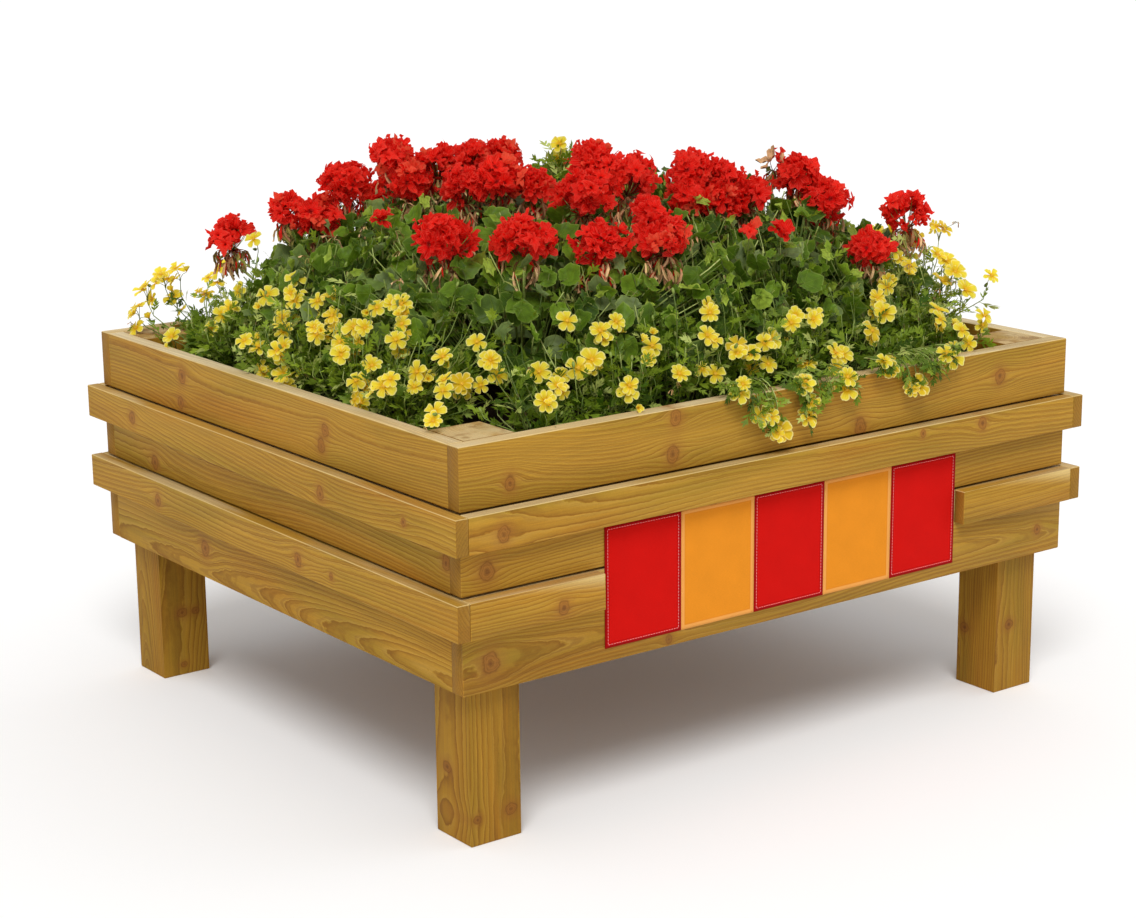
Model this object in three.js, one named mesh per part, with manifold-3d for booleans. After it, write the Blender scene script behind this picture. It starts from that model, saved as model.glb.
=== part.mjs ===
// A raised timber planter box on four legs, planted with red geraniums and a border of yellow bidens.
// Millimetres, +Z up. The origin is on the ground below the middle of the box. The long front side,
// which carries the banner, faces -Y.
import * as THREE from "three";
import { mergeVertices } from "three/addons/utils/BufferGeometryUtils.js";
import Module from "manifold-3d";

const wasm = await Module();
wasm.setup();

// Clear gap between pieces that touch on the real box.
const FIT = 0.3;

// Outside of the skin boards, front to back and side to side.
const BOX_LENGTH = 1246;
const BOX_DEPTH = 1112;
const BOARD_THICKNESS = 28;
const GROUND_CLEARANCE = 248;
const BOTTOM_BOARD_WIDTH = 145;
const MIDDLE_BOARD_WIDTH = 120;
const TOP_BOARD_WIDTH = 95;
const LOWER_JOINT = 4;
const UPPER_JOINT = 5;
const POST_SIZE = 90;
const BATTEN_THICKNESS = 22;
const BATTEN_WIDTH = 56;
const UPPER_BATTEN_BOTTOM = 464;
const LOWER_BATTEN_BOTTOM = 338;

const MIDDLE_BOARD_BOTTOM = GROUND_CLEARANCE + BOTTOM_BOARD_WIDTH + LOWER_JOINT;
const TOP_BOARD_BOTTOM = MIDDLE_BOARD_BOTTOM + MIDDLE_BOARD_WIDTH + UPPER_JOINT;
const RIM = TOP_BOARD_BOTTOM + TOP_BOARD_WIDTH;
const INNER_HALF_LENGTH = BOX_LENGTH / 2 - BOARD_THICKNESS;
const INNER_HALF_DEPTH = BOX_DEPTH / 2 - BOARD_THICKNESS;

// The banner on the front, and the gap that the lower batten leaves for it.
const BANNER_LEFT = -367;
const PATCH_WIDTH = 146;
const PATCH_COUNT = 5;
const BANNER_BOTTOM = 269;
const BANNER_TOP = 458;
const PATCH_THICKNESS = 1.6;
const LOWER_BATTEN_LEFT_END = -381;
const LOWER_BATTEN_RIGHT_START = 365;

// What carries and holds the soil.
const BEARER_HEIGHT = 45;
const BEARER_THICKNESS = 38;
const FLOOR_THICKNESS = 18;
const FLOOR_TOP = GROUND_CLEARANCE + 4 + BEARER_HEIGHT + FLOOR_THICKNESS;
const LINER_THICKNESS = 1.5;
const SOIL_TOP = 566;
const LINER_TOP = SOIL_TOP + 6;

// The planted mound: a dome over a rounded rectangle, highest in the middle.
const MOUND_HALF_X = 600;
const MOUND_HALF_Y = 535;
const MOUND_ROUNDING = 2.5;
const MOUND_FALL = 3.5;
const MOUND_EDGE_Z = 645;
const MOUND_RISE = 205;
const CORNER_RISE = 85;
const CORNER_RISE_AT = [495, -365];
const CORNER_RISE_REACH = 95;

const TURN = 2 * Math.PI;
const GOLDEN_ANGLE = Math.PI * (3 - Math.sqrt(5));

// Geraniums: four plants, each with a dense core that its leaf stalks and flower stalks grow from.
const GERANIUM_CORE_AT = [262, 212, 648];
const GERANIUM_CORE_RADII = [170, 132, 58];
const GERANIUM_TRUNK_RADIUS = 11;
const LEAF_COUNT = 76;
const LEAF_REACH = 0.9;
const LEAF_RADIUS = 54;
const LEAF_LOBES = 7;
const LEAF_SCALLOP = 0.9;
const LEAF_CLEFT = 0.42;
const LEAF_DROP = 26;
const LEAF_LEAN = 0.5;
const LEAF_SIZE_RANGE = 0.24;
const LEAF_FORM = { cup: 6, crown: -1, back: 5, stalkRadius: 2.2 };
const FLORET_NOTCH = 0.55;
const FLORET_FORM = { cup: 4, crown: 1, back: 5, stalkRadius: 2.2 };
const PEDUNCLE_RADIUS = 3.2;
const PEDUNCLE_BEND = 26;
// Ways in which a flower stalk may bow aside to pass the heads below its own.
const PEDUNCLE_SWAYS = [
  [0, 0],
  [-14, 0],
  [14, 0],
  [0, -14],
  [0, 14],
  [-30, -10],
  [-30, 20],
  [30, 20],
  [30, -20],
  [0, 34],
  [-45, 20],
  [45, 30],
];

// Bidens: five plants round the border, each with a slim core low in the box.
const BIDENS_BLOOM_RADIUS = 19;
const BIDENS_LEAF_RADIUS = 50;
const BLOOM_NOTCH = 0.5;
const CUT_LEAF_LOBES = [1, 0.8, 0.55, 0.8];
const CUT_LEAF_MIDRIB = 0.24;
const BIDENS_STALK_RADIUS = 1.6;
const BIDENS_STEM_RADIUS = 6;
const BIDENS_HALF_X = 588;
const BIDENS_HALF_Y = 520;
const BIDENS_ROUNDING = 4;

const STEM_DEPTH = 45;

const TIMBER = 0xb08a3c;
const BARE_TIMBER = 0xc2ab7c;
const MEMBRANE = 0x26292b;
const SOIL = 0x3a2c22;
const PATCH_RED = 0xcf1b17;
const PATCH_ORANGE = 0xf09a28;
const GERANIUM_GREEN = 0x3f6b2a;
const GERANIUM_RED = 0xd8201c;
const BIDENS_GREEN = 0x6f8a35;

const planter = new THREE.Group();

function addMesh(name, geometry, color, roughness) {
  const material = new THREE.MeshStandardMaterial({ color, roughness, metalness: 0 });
  const mesh = new THREE.Mesh(geometry, material);
  mesh.name = name;
  planter.add(mesh);
}

// Random draws that are the same on every run: each call of the returned function gives 0 to 1.
function drawer(seed) {
  let state = seed >>> 0;
  return () => {
    state = (Math.imul(state, 1664525) + 1013904223) >>> 0;
    return state / 4294967296;
  };
}

// Solids

function solidFromFaces(points, faces) {
  const vertProperties = new Float32Array(points.flatMap((p) => [p.x, p.y, p.z]));
  const triVerts = new Uint32Array(faces.flat());
  return new wasm.Manifold(new wasm.Mesh({ numProp: 3, vertProperties, triVerts }));
}

// A geometry with only its positions, and its shared vertices merged.
function mergedShape(geometry) {
  const bare = geometry.index ? geometry.toNonIndexed() : geometry.clone();
  bare.deleteAttribute("normal");
  bare.deleteAttribute("uv");
  return mergeVertices(bare, 1e-3);
}

function solidFromGeometry(geometry) {
  const merged = mergedShape(geometry);
  const vertProperties = merged.attributes.position.array;
  const triVerts = new Uint32Array(merged.index.array);
  return new wasm.Manifold(new wasm.Mesh({ numProp: 3, vertProperties, triVerts }));
}

function geometryFromSolid(solid) {
  const mesh = solid.getMesh();
  const geometry = new THREE.BufferGeometry();
  geometry.setAttribute("position", new THREE.BufferAttribute(mesh.vertProperties, 3));
  geometry.setIndex(new THREE.BufferAttribute(mesh.triVerts, 1));
  geometry.computeVertexNormals();
  return geometry;
}

// A box between two corners.
function block([x0, y0, z0], [x1, y1, z1]) {
  const geometry = new THREE.BoxGeometry(x1 - x0, y1 - y0, z1 - z0);
  geometry.translate((x0 + x1) / 2, (y0 + y1) / 2, (z0 + z1) / 2);
  return geometry;
}

function prismUp(x, y, radius, sides, bottom, top) {
  const geometry = new THREE.CylinderGeometry(radius, radius, top - bottom, sides);
  geometry.rotateX(Math.PI / 2);
  geometry.translate(x, y, (bottom + top) / 2);
  return solidFromGeometry(geometry);
}

// The inside of the box in plan, drawn in by an inset, with a notch round each post.
function innerPlan(inset) {
  const x = INNER_HALF_LENGTH - inset;
  const y = INNER_HALF_DEPTH - inset;
  const notchX = INNER_HALF_LENGTH - FIT - POST_SIZE - inset;
  const notchY = INNER_HALF_DEPTH - FIT - POST_SIZE - inset;
  const shape = new THREE.Shape();
  shape.moveTo(-x, -notchY);
  shape.lineTo(-notchX, -notchY);
  shape.lineTo(-notchX, -y);
  shape.lineTo(notchX, -y);
  shape.lineTo(notchX, -notchY);
  shape.lineTo(x, -notchY);
  shape.lineTo(x, notchY);
  shape.lineTo(notchX, notchY);
  shape.lineTo(notchX, y);
  shape.lineTo(-notchX, y);
  shape.lineTo(-notchX, notchY);
  shape.lineTo(-x, notchY);
  shape.closePath();
  return shape;
}

function innerPrism(inset, bottom, top) {
  const geometry = new THREE.ExtrudeGeometry(innerPlan(inset), { depth: top - bottom, bevelEnabled: false });
  geometry.translate(0, 0, bottom);
  return geometry;
}

// Plant forms

// Two directions across a given one.
function axesAcross(normal) {
  const side = Math.abs(normal.z) < 0.9 ? new THREE.Vector3(0, 0, 1) : new THREE.Vector3(1, 0, 0);
  const u = new THREE.Vector3().crossVectors(side, normal).normalize();
  const v = new THREE.Vector3().crossVectors(normal, u);
  return [u, v];
}

// Points round a centre, one for each radius.
function ringAt(centre, axes, radii, turn) {
  return radii.map((radius, i) => {
    const angle = turn + (i * TURN) / radii.length;
    return centre
      .clone()
      .addScaledVector(axes[0], radius * Math.cos(angle))
      .addScaledVector(axes[1], radius * Math.sin(angle));
  });
}

// A three-sided stalk that runs through the path's points, as rings of points. The first ring is at
// the path's end, which is under the blade.
function stalkRings(path, radius, frontAxes) {
  const rings = [];
  let axes = frontAxes;
  for (let i = path.length - 1; i >= 0; i--) {
    const along = path[Math.min(i + 1, path.length - 1)].clone().sub(path[Math.max(i - 1, 0)]).normalize();
    const u = axes[0].clone().addScaledVector(along, -axes[0].dot(along)).normalize();
    axes = [u, new THREE.Vector3().crossVectors(along, u)];
    rings.push(ringAt(path[i], axes, [radius, radius, radius], 0));
  }
  return rings;
}

// A blade with a cut outline on a stalk, as one closed solid: a crown point, a rim with one point for
// each radius, and a stalk from the blade's back along the path to the root, which comes first in it.
function bladeOnStalk({ root, over = [], centre, facing, radii, cup, crown, back, stalkRadius, turn }) {
  const facingAxes = axesAcross(facing);
  const largest = Math.max(...radii);
  const rim = ringAt(centre, facingAxes, radii, turn);
  rim.forEach((point, i) => point.addScaledVector(facing, cup * (radii[i] / largest) ** 2));
  const top = centre.clone().addScaledVector(facing, crown);
  const neck = centre.clone().addScaledVector(facing, -back);
  const rings = stalkRings([root, ...over, neck], stalkRadius, facingAxes);
  const n = radii.length;
  const points = [...rim, ...rings.flat(), top];
  const topIndex = points.length - 1;
  const ringPoint = (level, j) => n + level * 3 + (j % 3);
  // The neck's point nearest to each rim point in angle, so that the blade's back is stitched evenly.
  const nearest = (i) => {
    const rimAngle = turn + (i * TURN) / n;
    return Math.round((rimAngle * 3) / TURN);
  };
  const faces = [];
  for (let i = 0; i < n; i++) {
    const next = (i + 1) % n;
    faces.push([topIndex, i, next]);
    const here = nearest(i);
    const there = nearest(i + 1);
    const a = ringPoint(0, ((here % 3) + 3) % 3);
    const b = ringPoint(0, ((there % 3) + 3) % 3);
    faces.push([next, i, a]);
    if (a !== b) faces.push([next, a, b]);
  }
  for (let level = 0; level + 1 < rings.length; level++) {
    for (let j = 0; j < 3; j++) {
      const upper = ringPoint(level, j);
      const upperNext = ringPoint(level, j + 1);
      const lower = ringPoint(level + 1, j);
      const lowerNext = ringPoint(level + 1, j + 1);
      faces.push([lower, lowerNext, upperNext], [lower, upperNext, upper]);
    }
  }
  const last = rings.length - 1;
  faces.push([ringPoint(last, 0), ringPoint(last, 2), ringPoint(last, 1)]);
  return solidFromFaces(points, faces);
}

// A plain three-sided stalk along a path from its root to its end.
function stalk(path, radius) {
  const last = path.length - 1;
  const axes = axesAcross(path[last].clone().sub(path[last - 1]).normalize());
  const rings = stalkRings(path, radius, axes);
  const faces = [[0, 1, 2], [3 * last, 3 * last + 2, 3 * last + 1]];
  for (let level = 0; level < last; level++) {
    for (let j = 0; j < 3; j++) {
      const upper = 3 * level + j;
      const upperNext = 3 * level + ((j + 1) % 3);
      faces.push([upper + 3, upperNext + 3, upperNext], [upper + 3, upperNext, upper]);
    }
  }
  return solidFromFaces(rings.flat(), faces);
}

// A dense flower head as one closed solid. Each corner of the polyhedron carries a floret with one
// petal for each face there. Neighbouring florets share the notch between them, and deep points
// under the petals part them. The lowest corner is the plain seat of the flower stalk.
const PETAL_SPREAD = 0.74;
const NOTCH_DEPTH = 0.64;
const HOLLOW_DEPTH = 0.4;
const FLORET_EYE = 0.86;
const SEAT_DEPTH = 0.62;
const HEAD_FLATTENING = 0.86;
const LEAST_SWELL = 0.93;
const SWELL_RANGE = 0.12;

function flowerHead(polyhedron, centre, radius, draw) {
  const merged = mergedShape(polyhedron);
  const position = merged.attributes.position;
  const corners = [];
  for (let i = 0; i < position.count; i++) corners.push(new THREE.Vector3().fromBufferAttribute(position, i));
  const up = new THREE.Vector3(0, 0, 1);
  const upright = new THREE.Quaternion().setFromUnitVectors(corners[0].clone().normalize(), up);
  const spin = new THREE.Quaternion().setFromAxisAngle(up, draw() * TURN);
  corners.forEach((corner) => corner.applyQuaternion(upright).applyQuaternion(spin).normalize());
  const seat = corners.reduce((lowest, corner, i) => (corner.z < corners[lowest].z ? i : lowest), 0);
  const swell = corners.map(() => LEAST_SWELL + SWELL_RANGE * draw());
  const points = [];
  const addPoint = (direction, reach) => {
    const point = direction.clone().normalize().multiplyScalar(radius * reach);
    point.z *= HEAD_FLATTENING;
    points.push(point.add(centre));
    return points.length - 1;
  };
  const eyes = corners.map((corner, i) => addPoint(corner, i === seat ? SEAT_DEPTH : FLORET_EYE * swell[i]));
  const notches = new Map();
  const notchOf = (a, b) => {
    const key = Math.min(a, b) + "_" + Math.max(a, b);
    if (!notches.has(key)) notches.set(key, addPoint(corners[a].clone().add(corners[b]), NOTCH_DEPTH));
    return notches.get(key);
  };
  const faces = [];
  for (let f = 0; f < merged.index.count; f += 3) {
    const trio = [0, 1, 2].map((k) => merged.index.getX(f + k));
    const middle = trio.reduce((sum, i) => sum.add(corners[i]), new THREE.Vector3()).normalize();
    const hollow = addPoint(middle, HOLLOW_DEPTH);
    trio.forEach((corner, k) => {
      const ahead = notchOf(corner, trio[(k + 1) % 3]);
      const behind = notchOf(corner, trio[(k + 2) % 3]);
      if (corner === seat) {
        faces.push([eyes[corner], ahead, hollow], [eyes[corner], hollow, behind]);
        return;
      }
      const tip = addPoint(corners[corner].clone().lerp(middle, PETAL_SPREAD), swell[corner]);
      faces.push([eyes[corner], ahead, tip], [eyes[corner], tip, behind]);
      faces.push([ahead, hollow, tip], [tip, hollow, behind]);
    });
  }
  return solidFromFaces(points, faces);
}

const PETALS = 5;

// The outline of a flower with five petals, notched between them.
function petalRadii(radius, notch) {
  return Array.from({ length: 2 * PETALS }, (_, i) => (i % 2 ? radius * notch : radius));
}

const LARGE_HEAD = new THREE.IcosahedronGeometry(1, 0);
const SMALL_HEAD = new THREE.OctahedronGeometry(1, 0);
const LARGE_HEAD_FROM = 43;

// Leaves and blooms lean out more than the mound's own slope.
const LEAN_OUT = 1.5;

// Height of the mound's foliage at a place in plan.
function moundHeight(x, y) {
  const across = Math.abs(x / MOUND_HALF_X) ** MOUND_ROUNDING + Math.abs(y / MOUND_HALF_Y) ** MOUND_ROUNDING;
  const out = Math.min(1, across ** (1 / MOUND_ROUNDING));
  const fromCorner = Math.hypot(x - CORNER_RISE_AT[0], y - CORNER_RISE_AT[1]) / CORNER_RISE_REACH;
  const corner = CORNER_RISE * Math.exp(-fromCorner * fromCorner);
  return MOUND_EDGE_Z + MOUND_RISE * (1 - out ** MOUND_FALL) + corner;
}

const SLOPE_STEP = 4;

// The way that a leaf or bloom faces there.
function moundNormal(x, y) {
  const step = SLOPE_STEP;
  const slopeX = (moundHeight(x + step, y) - moundHeight(x - step, y)) / (2 * step);
  const slopeY = (moundHeight(x, y + step) - moundHeight(x, y - step)) / (2 * step);
  return new THREE.Vector3(-LEAN_OUT * slopeX, -LEAN_OUT * slopeY, 1).normalize();
}

// A sideways lean drawn at random.
function leanDrawn(most, draw) {
  return new THREE.Vector3(most * (draw() - 0.5), most * (draw() - 0.5), 0);
}

// The place in plan at an angle round the middle, at a share of the way out to a rounded rectangle.
function placeInPlan(angle, share, halfX, halfY, rounding) {
  const c = Math.cos(angle);
  const s = Math.sin(angle);
  const reach = share / (Math.abs(c) ** rounding + Math.abs(s) ** rounding) ** (1 / rounding);
  return [halfX * c * reach, halfY * s * reach];
}

// Keeping the plants clear of each other

// Every solid with the name of its node, so that a new one can be tested against the others.
const placed = [];

function boxesMeet(a, b) {
  return [0, 1, 2].every((k) => a.min[k] - FIT < b.max[k] && b.min[k] - FIT < a.max[k]);
}

function isClear(node, solid) {
  const box = solid.boundingBox();
  return placed
    .filter((other) => other.node !== node && boxesMeet(box, other.box))
    .every((other) => solid.minGap(other.solid, 2 * FIT) > FIT);
}

function place(node, solid, core = false) {
  placed.push({ node, solid, core, box: solid.boundingBox() });
}

function placeIfClear(node, solid) {
  if (!isClear(node, solid)) return false;
  place(node, solid);
  return true;
}

// How many other blades and stalks of its own plant a solid crosses. The core doesn't count.
function crossings(node, solid) {
  const box = solid.boundingBox();
  return placed
    .filter((other) => other.node === node && !other.core && boxesMeet(box, other.box))
    .filter((other) => !solid.intersect(other.solid).isEmpty()).length;
}

// Of several ways to set a blade, places the one that crosses fewest of its own plant.
function placeBest(node, ways) {
  let best = null;
  let fewest = Infinity;
  for (const way of ways) {
    const solid = way();
    if (!isClear(node, solid)) continue;
    const count = crossings(node, solid);
    if (count < fewest) [best, fewest] = [solid, count];
    if (count === 0) break;
  }
  if (best) place(node, best);
  return Boolean(best);
}

function fused(node) {
  return wasm.Manifold.union(placed.filter((piece) => piece.node === node).map((piece) => piece.solid));
}

// Posts

for (const [side, sx] of [["left", -1], ["right", 1]]) {
  for (const [end, sy] of [["front", -1], ["back", 1]]) {
    const outerX = sx * (INNER_HALF_LENGTH - FIT);
    const outerY = sy * (INNER_HALF_DEPTH - FIT);
    const low = [Math.min(outerX, outerX - sx * POST_SIZE), Math.min(outerY, outerY - sy * POST_SIZE), 0];
    const high = [low[0] + POST_SIZE, low[1] + POST_SIZE, RIM];
    addMesh(`post_${end}_${side}`, block(low, high), TIMBER, 0.6);
    place("post", solidFromGeometry(block(low, high)));
  }
}

// Skin boards: the front and back ones run through, and the side ones butt between them.

const BOARDS = [
  ["bottom", GROUND_CLEARANCE, BOTTOM_BOARD_WIDTH],
  ["middle", MIDDLE_BOARD_BOTTOM, MIDDLE_BOARD_WIDTH],
  ["top", TOP_BOARD_BOTTOM, TOP_BOARD_WIDTH],
];

for (const [level, bottom, width] of BOARDS) {
  for (const [side, sy] of [["front", -1], ["back", 1]]) {
    const inner = sy * INNER_HALF_DEPTH;
    const outer = (sy * BOX_DEPTH) / 2;
    const low = [-BOX_LENGTH / 2, Math.min(inner, outer), bottom];
    const high = [BOX_LENGTH / 2, Math.max(inner, outer), bottom + width];
    addMesh(`board_${side}_${level}`, block(low, high), TIMBER, 0.6);
    place("board", solidFromGeometry(block(low, high)));
  }
  for (const [side, sx] of [["left", -1], ["right", 1]]) {
    const inner = sx * INNER_HALF_LENGTH;
    const outer = (sx * BOX_LENGTH) / 2;
    const halfRun = INNER_HALF_DEPTH - FIT;
    const low = [Math.min(inner, outer), -halfRun, bottom];
    const high = [Math.max(inner, outer), halfRun, bottom + width];
    addMesh(`board_${side}_${level}`, block(low, high), TIMBER, 0.6);
    place("board", solidFromGeometry(block(low, high)));
  }
}

// Battens: the side ones run through, and the front and back ones butt between them.

const BATTENS = [
  ["lower", LOWER_BATTEN_BOTTOM],
  ["upper", UPPER_BATTEN_BOTTOM],
];
const BATTEN_FRONT = BOX_DEPTH / 2 + BATTEN_THICKNESS;
const BATTEN_SIDE = BOX_LENGTH / 2 + BATTEN_THICKNESS;
const FRONT_RUN = BOX_LENGTH / 2 - FIT;

function addBattenAlongX(name, sy, from, to, bottom) {
  const inner = sy * (BOX_DEPTH / 2 + FIT);
  const outer = sy * BATTEN_FRONT;
  const low = [from, Math.min(inner, outer), bottom];
  const high = [to, Math.max(inner, outer), bottom + BATTEN_WIDTH];
  addMesh(name, block(low, high), TIMBER, 0.6);
  place("batten", solidFromGeometry(block(low, high)));
}

for (const [level, bottom] of BATTENS) {
  for (const [side, sx] of [["left", -1], ["right", 1]]) {
    const inner = sx * (BOX_LENGTH / 2 + FIT);
    const outer = sx * BATTEN_SIDE;
    const low = [Math.min(inner, outer), -BATTEN_FRONT, bottom];
    const high = [Math.max(inner, outer), BATTEN_FRONT, bottom + BATTEN_WIDTH];
    addMesh(`batten_${side}_${level}`, block(low, high), TIMBER, 0.6);
  }
  addBattenAlongX(`batten_back_${level}`, 1, -FRONT_RUN, FRONT_RUN, bottom);
}
addBattenAlongX("batten_front_upper", -1, -FRONT_RUN, FRONT_RUN, UPPER_BATTEN_BOTTOM);
addBattenAlongX("batten_front_lower_left", -1, -FRONT_RUN, LOWER_BATTEN_LEFT_END, LOWER_BATTEN_BOTTOM);
addBattenAlongX("batten_front_lower_right", -1, LOWER_BATTEN_RIGHT_START, FRONT_RUN, LOWER_BATTEN_BOTTOM);

// Banner: five woven patches, edge to edge.

for (let i = 0; i < PATCH_COUNT; i++) {
  const left = BANNER_LEFT + i * PATCH_WIDTH;
  const front = -BOX_DEPTH / 2 - FIT;
  const low = [left, front - PATCH_THICKNESS, BANNER_BOTTOM];
  const high = [left + PATCH_WIDTH - FIT, front, BANNER_TOP];
  addMesh(`banner_patch_${i + 1}`, block(low, high), i % 2 ? PATCH_ORANGE : PATCH_RED, 0.9);
}

// Floor, liner and soil

for (const [side, sy] of [["front", -1], ["back", 1]]) {
  const outer = sy * (INNER_HALF_DEPTH - FIT);
  const inner = outer - sy * BEARER_THICKNESS;
  const halfRun = INNER_HALF_LENGTH - FIT - POST_SIZE - FIT;
  const low = [-halfRun, Math.min(inner, outer), FLOOR_TOP - FLOOR_THICKNESS - FIT - BEARER_HEIGHT];
  const high = [halfRun, Math.max(inner, outer), FLOOR_TOP - FLOOR_THICKNESS - FIT];
  addMesh(`floor_bearer_${side}`, block(low, high), BARE_TIMBER, 0.8);
}
addMesh("floor_panel", innerPrism(FIT, FLOOR_TOP - FLOOR_THICKNESS, FLOOR_TOP), BARE_TIMBER, 0.8);

const linerOutside = solidFromGeometry(innerPrism(FIT, FLOOR_TOP + FIT, LINER_TOP));
const linerInset = FIT + LINER_THICKNESS;
const linerBottom = FLOOR_TOP + FIT + LINER_THICKNESS;
const linerInside = solidFromGeometry(innerPrism(linerInset, linerBottom, LINER_TOP + 1));
const liner = linerOutside.subtract(linerInside);
addMesh("liner", geometryFromSolid(liner), MEMBRANE, 0.7);
place("liner", liner);

// Each stem goes down into a plain hole in the soil.
const STEM_SIDES = 4;
const soilBlock = solidFromGeometry(innerPrism(linerInset + FIT, linerBottom + FIT, SOIL_TOP));
const holes = [];

function plantStem(node, x, y, radius, top) {
  const clearance = FIT / Math.cos(Math.PI / STEM_SIDES);
  const bottom = SOIL_TOP - STEM_DEPTH;
  place(node, prismUp(x, y, radius, STEM_SIDES, bottom, top), true);
  holes.push(prismUp(x, y, radius + clearance, STEM_SIDES, bottom - FIT, SOIL_TOP + 1));
}

// Red flower heads, by bunch. Heads of one bunch touch and are fused. Each row is the head's middle
// and its radius.
const BUNCHES = {
  left_far: [[-440, 402, 781, 40]],
  left_crest: [[-418, 248, 841, 27], [-380, 208, 825, 45], [-331, 196, 883, 44]],
  middle_crest: [
    [-276, 146, 930, 34],
    [-256, 116, 890, 48],
    [-210, 98, 914, 38],
    [-162, 70, 922, 34],
    [-120, 48, 926, 32],
  ],
  middle: [[-260, -56, 892, 38], [-211, -80, 910, 42], [-171, -122, 896, 33]],
  front_left: [[-383, -175, 836, 46]],
  front_middle: [[-302, -268, 839, 47]],
  front_crest: [[-112, -197, 938, 36], [-151, -230, 891, 52], [-79, -247, 914, 46]],
  front_sparse: [[-201, -336, 832, 44]],
  front_low: [[-106, -339, 876, 20], [-98, -363, 834, 46]],
  right_crest: [
    [95, -196, 903, 42],
    [143, -222, 890, 34],
    [76, -216, 864, 40],
    [124, -236, 860, 38],
    [170, -252, 864, 36],
  ],
  right_high: [[304, -226, 885, 37], [274, -198, 906, 20], [326, -267, 843, 46]],
  right_low: [[331, -376, 777, 33]],
  right_corner: [[455, -338, 818, 43]],
  back_left: [[-172, 334, 826, 42], [-112, 346, 820, 42], [-52, 334, 826, 42]],
  back_right: [[236, 300, 806, 42], [298, 282, 796, 42], [356, 256, 784, 40]],
  centre: [[140, 112, 862, 42], [80, 126, 866, 42], [198, 90, 852, 40]],
};

// Lone florets that stand clear of every bunch: middle and radius.
const LONE_FLORETS = [
  [-382, 11, 851, 20],
  [128, -382, 823, 21],
  [73, -371, 831, 17],
  [440, 60, 800, 22],
];

const headDraw = drawer(11);
const heads = [];
for (const [bunch, rows] of Object.entries(BUNCHES)) {
  const node = `geranium_heads_${bunch}`;
  for (const [x, y, z, radius] of rows) {
    const form = radius >= LARGE_HEAD_FROM ? LARGE_HEAD : SMALL_HEAD;
    place(node, flowerHead(form, new THREE.Vector3(x, y, z), radius, headDraw));
    heads.push({ x, y, z, radius });
  }
}

// Geranium plants

const geraniums = [];
for (const [side, sx] of [["left", -1], ["right", 1]]) {
  for (const [end, sy] of [["front", -1], ["back", 1]]) {
    const [cx, cy, cz] = [sx * GERANIUM_CORE_AT[0], sy * GERANIUM_CORE_AT[1], GERANIUM_CORE_AT[2]];
    const plant = { node: `geranium_plant_${end}_${side}`, sx, sy, core: new THREE.Vector3(cx, cy, cz) };
    const core = new THREE.IcosahedronGeometry(1, 1);
    core.scale(...GERANIUM_CORE_RADII);
    core.translate(cx, cy, cz);
    place(plant.node, solidFromGeometry(core), true);
    plantStem(plant.node, cx, cy, GERANIUM_TRUNK_RADIUS, cz);
    geraniums.push(plant);
  }
}

// A point inside the plant's core, towards a place outside it.
const ROOT_SHARE = 0.72;

function rootInCore(plant, target) {
  const offset = target.clone().sub(plant.core);
  const [rx, ry, rz] = GERANIUM_CORE_RADII;
  const toSurface = 1 / Math.hypot(offset.x / rx, offset.y / ry, offset.z / rz);
  return plant.core.clone().addScaledVector(offset, Math.min(0.9, toSurface * ROOT_SHARE));
}

function nearestPlant(x, y) {
  const away = (plant) => Math.hypot(plant.core.x - x, plant.core.y - y);
  return geraniums.reduce((best, plant) => (away(plant) < away(best) ? plant : best));
}

// Flower stalks end just under their heads. A head that sits on its neighbours in a bunch, with no
// clear way down for a stalk of its own, is held by theirs.
for (const head of heads) {
  const lowest = head.z - head.radius * SEAT_DEPTH * HEAD_FLATTENING;
  const end = new THREE.Vector3(head.x, head.y, lowest - FIT - 0.1);
  const plant = nearestPlant(head.x, head.y);
  const ways = PEDUNCLE_SWAYS.map(([swayX, swayY]) => () => {
    const bend = new THREE.Vector3(head.x + swayX, head.y + swayY, head.z - head.radius - PEDUNCLE_BEND);
    return stalk([rootInCore(plant, bend), bend, end], PEDUNCLE_RADIUS);
  });
  placeBest(plant.node, ways);
}

for (const [x, y, z, radius] of LONE_FLORETS) {
  const centre = new THREE.Vector3(x, y, z);
  const plant = nearestPlant(x, y);
  const facing = moundNormal(x, y);
  const root = rootInCore(plant, centre);
  const radii = petalRadii(radius, FLORET_NOTCH);
  placeIfClear(plant.node, bladeOnStalk({ root, centre, facing, radii, turn: 0, ...FLORET_FORM }));
}

// Geranium leaves: round, with a scalloped edge and a cleft where the stalk joins.
function leafRadii(radius) {
  const lobes = Array.from({ length: LEAF_LOBES }, (_, i) => (i % 2 ? radius * LEAF_SCALLOP : radius));
  return [radius * LEAF_CLEFT, ...lobes];
}

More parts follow.
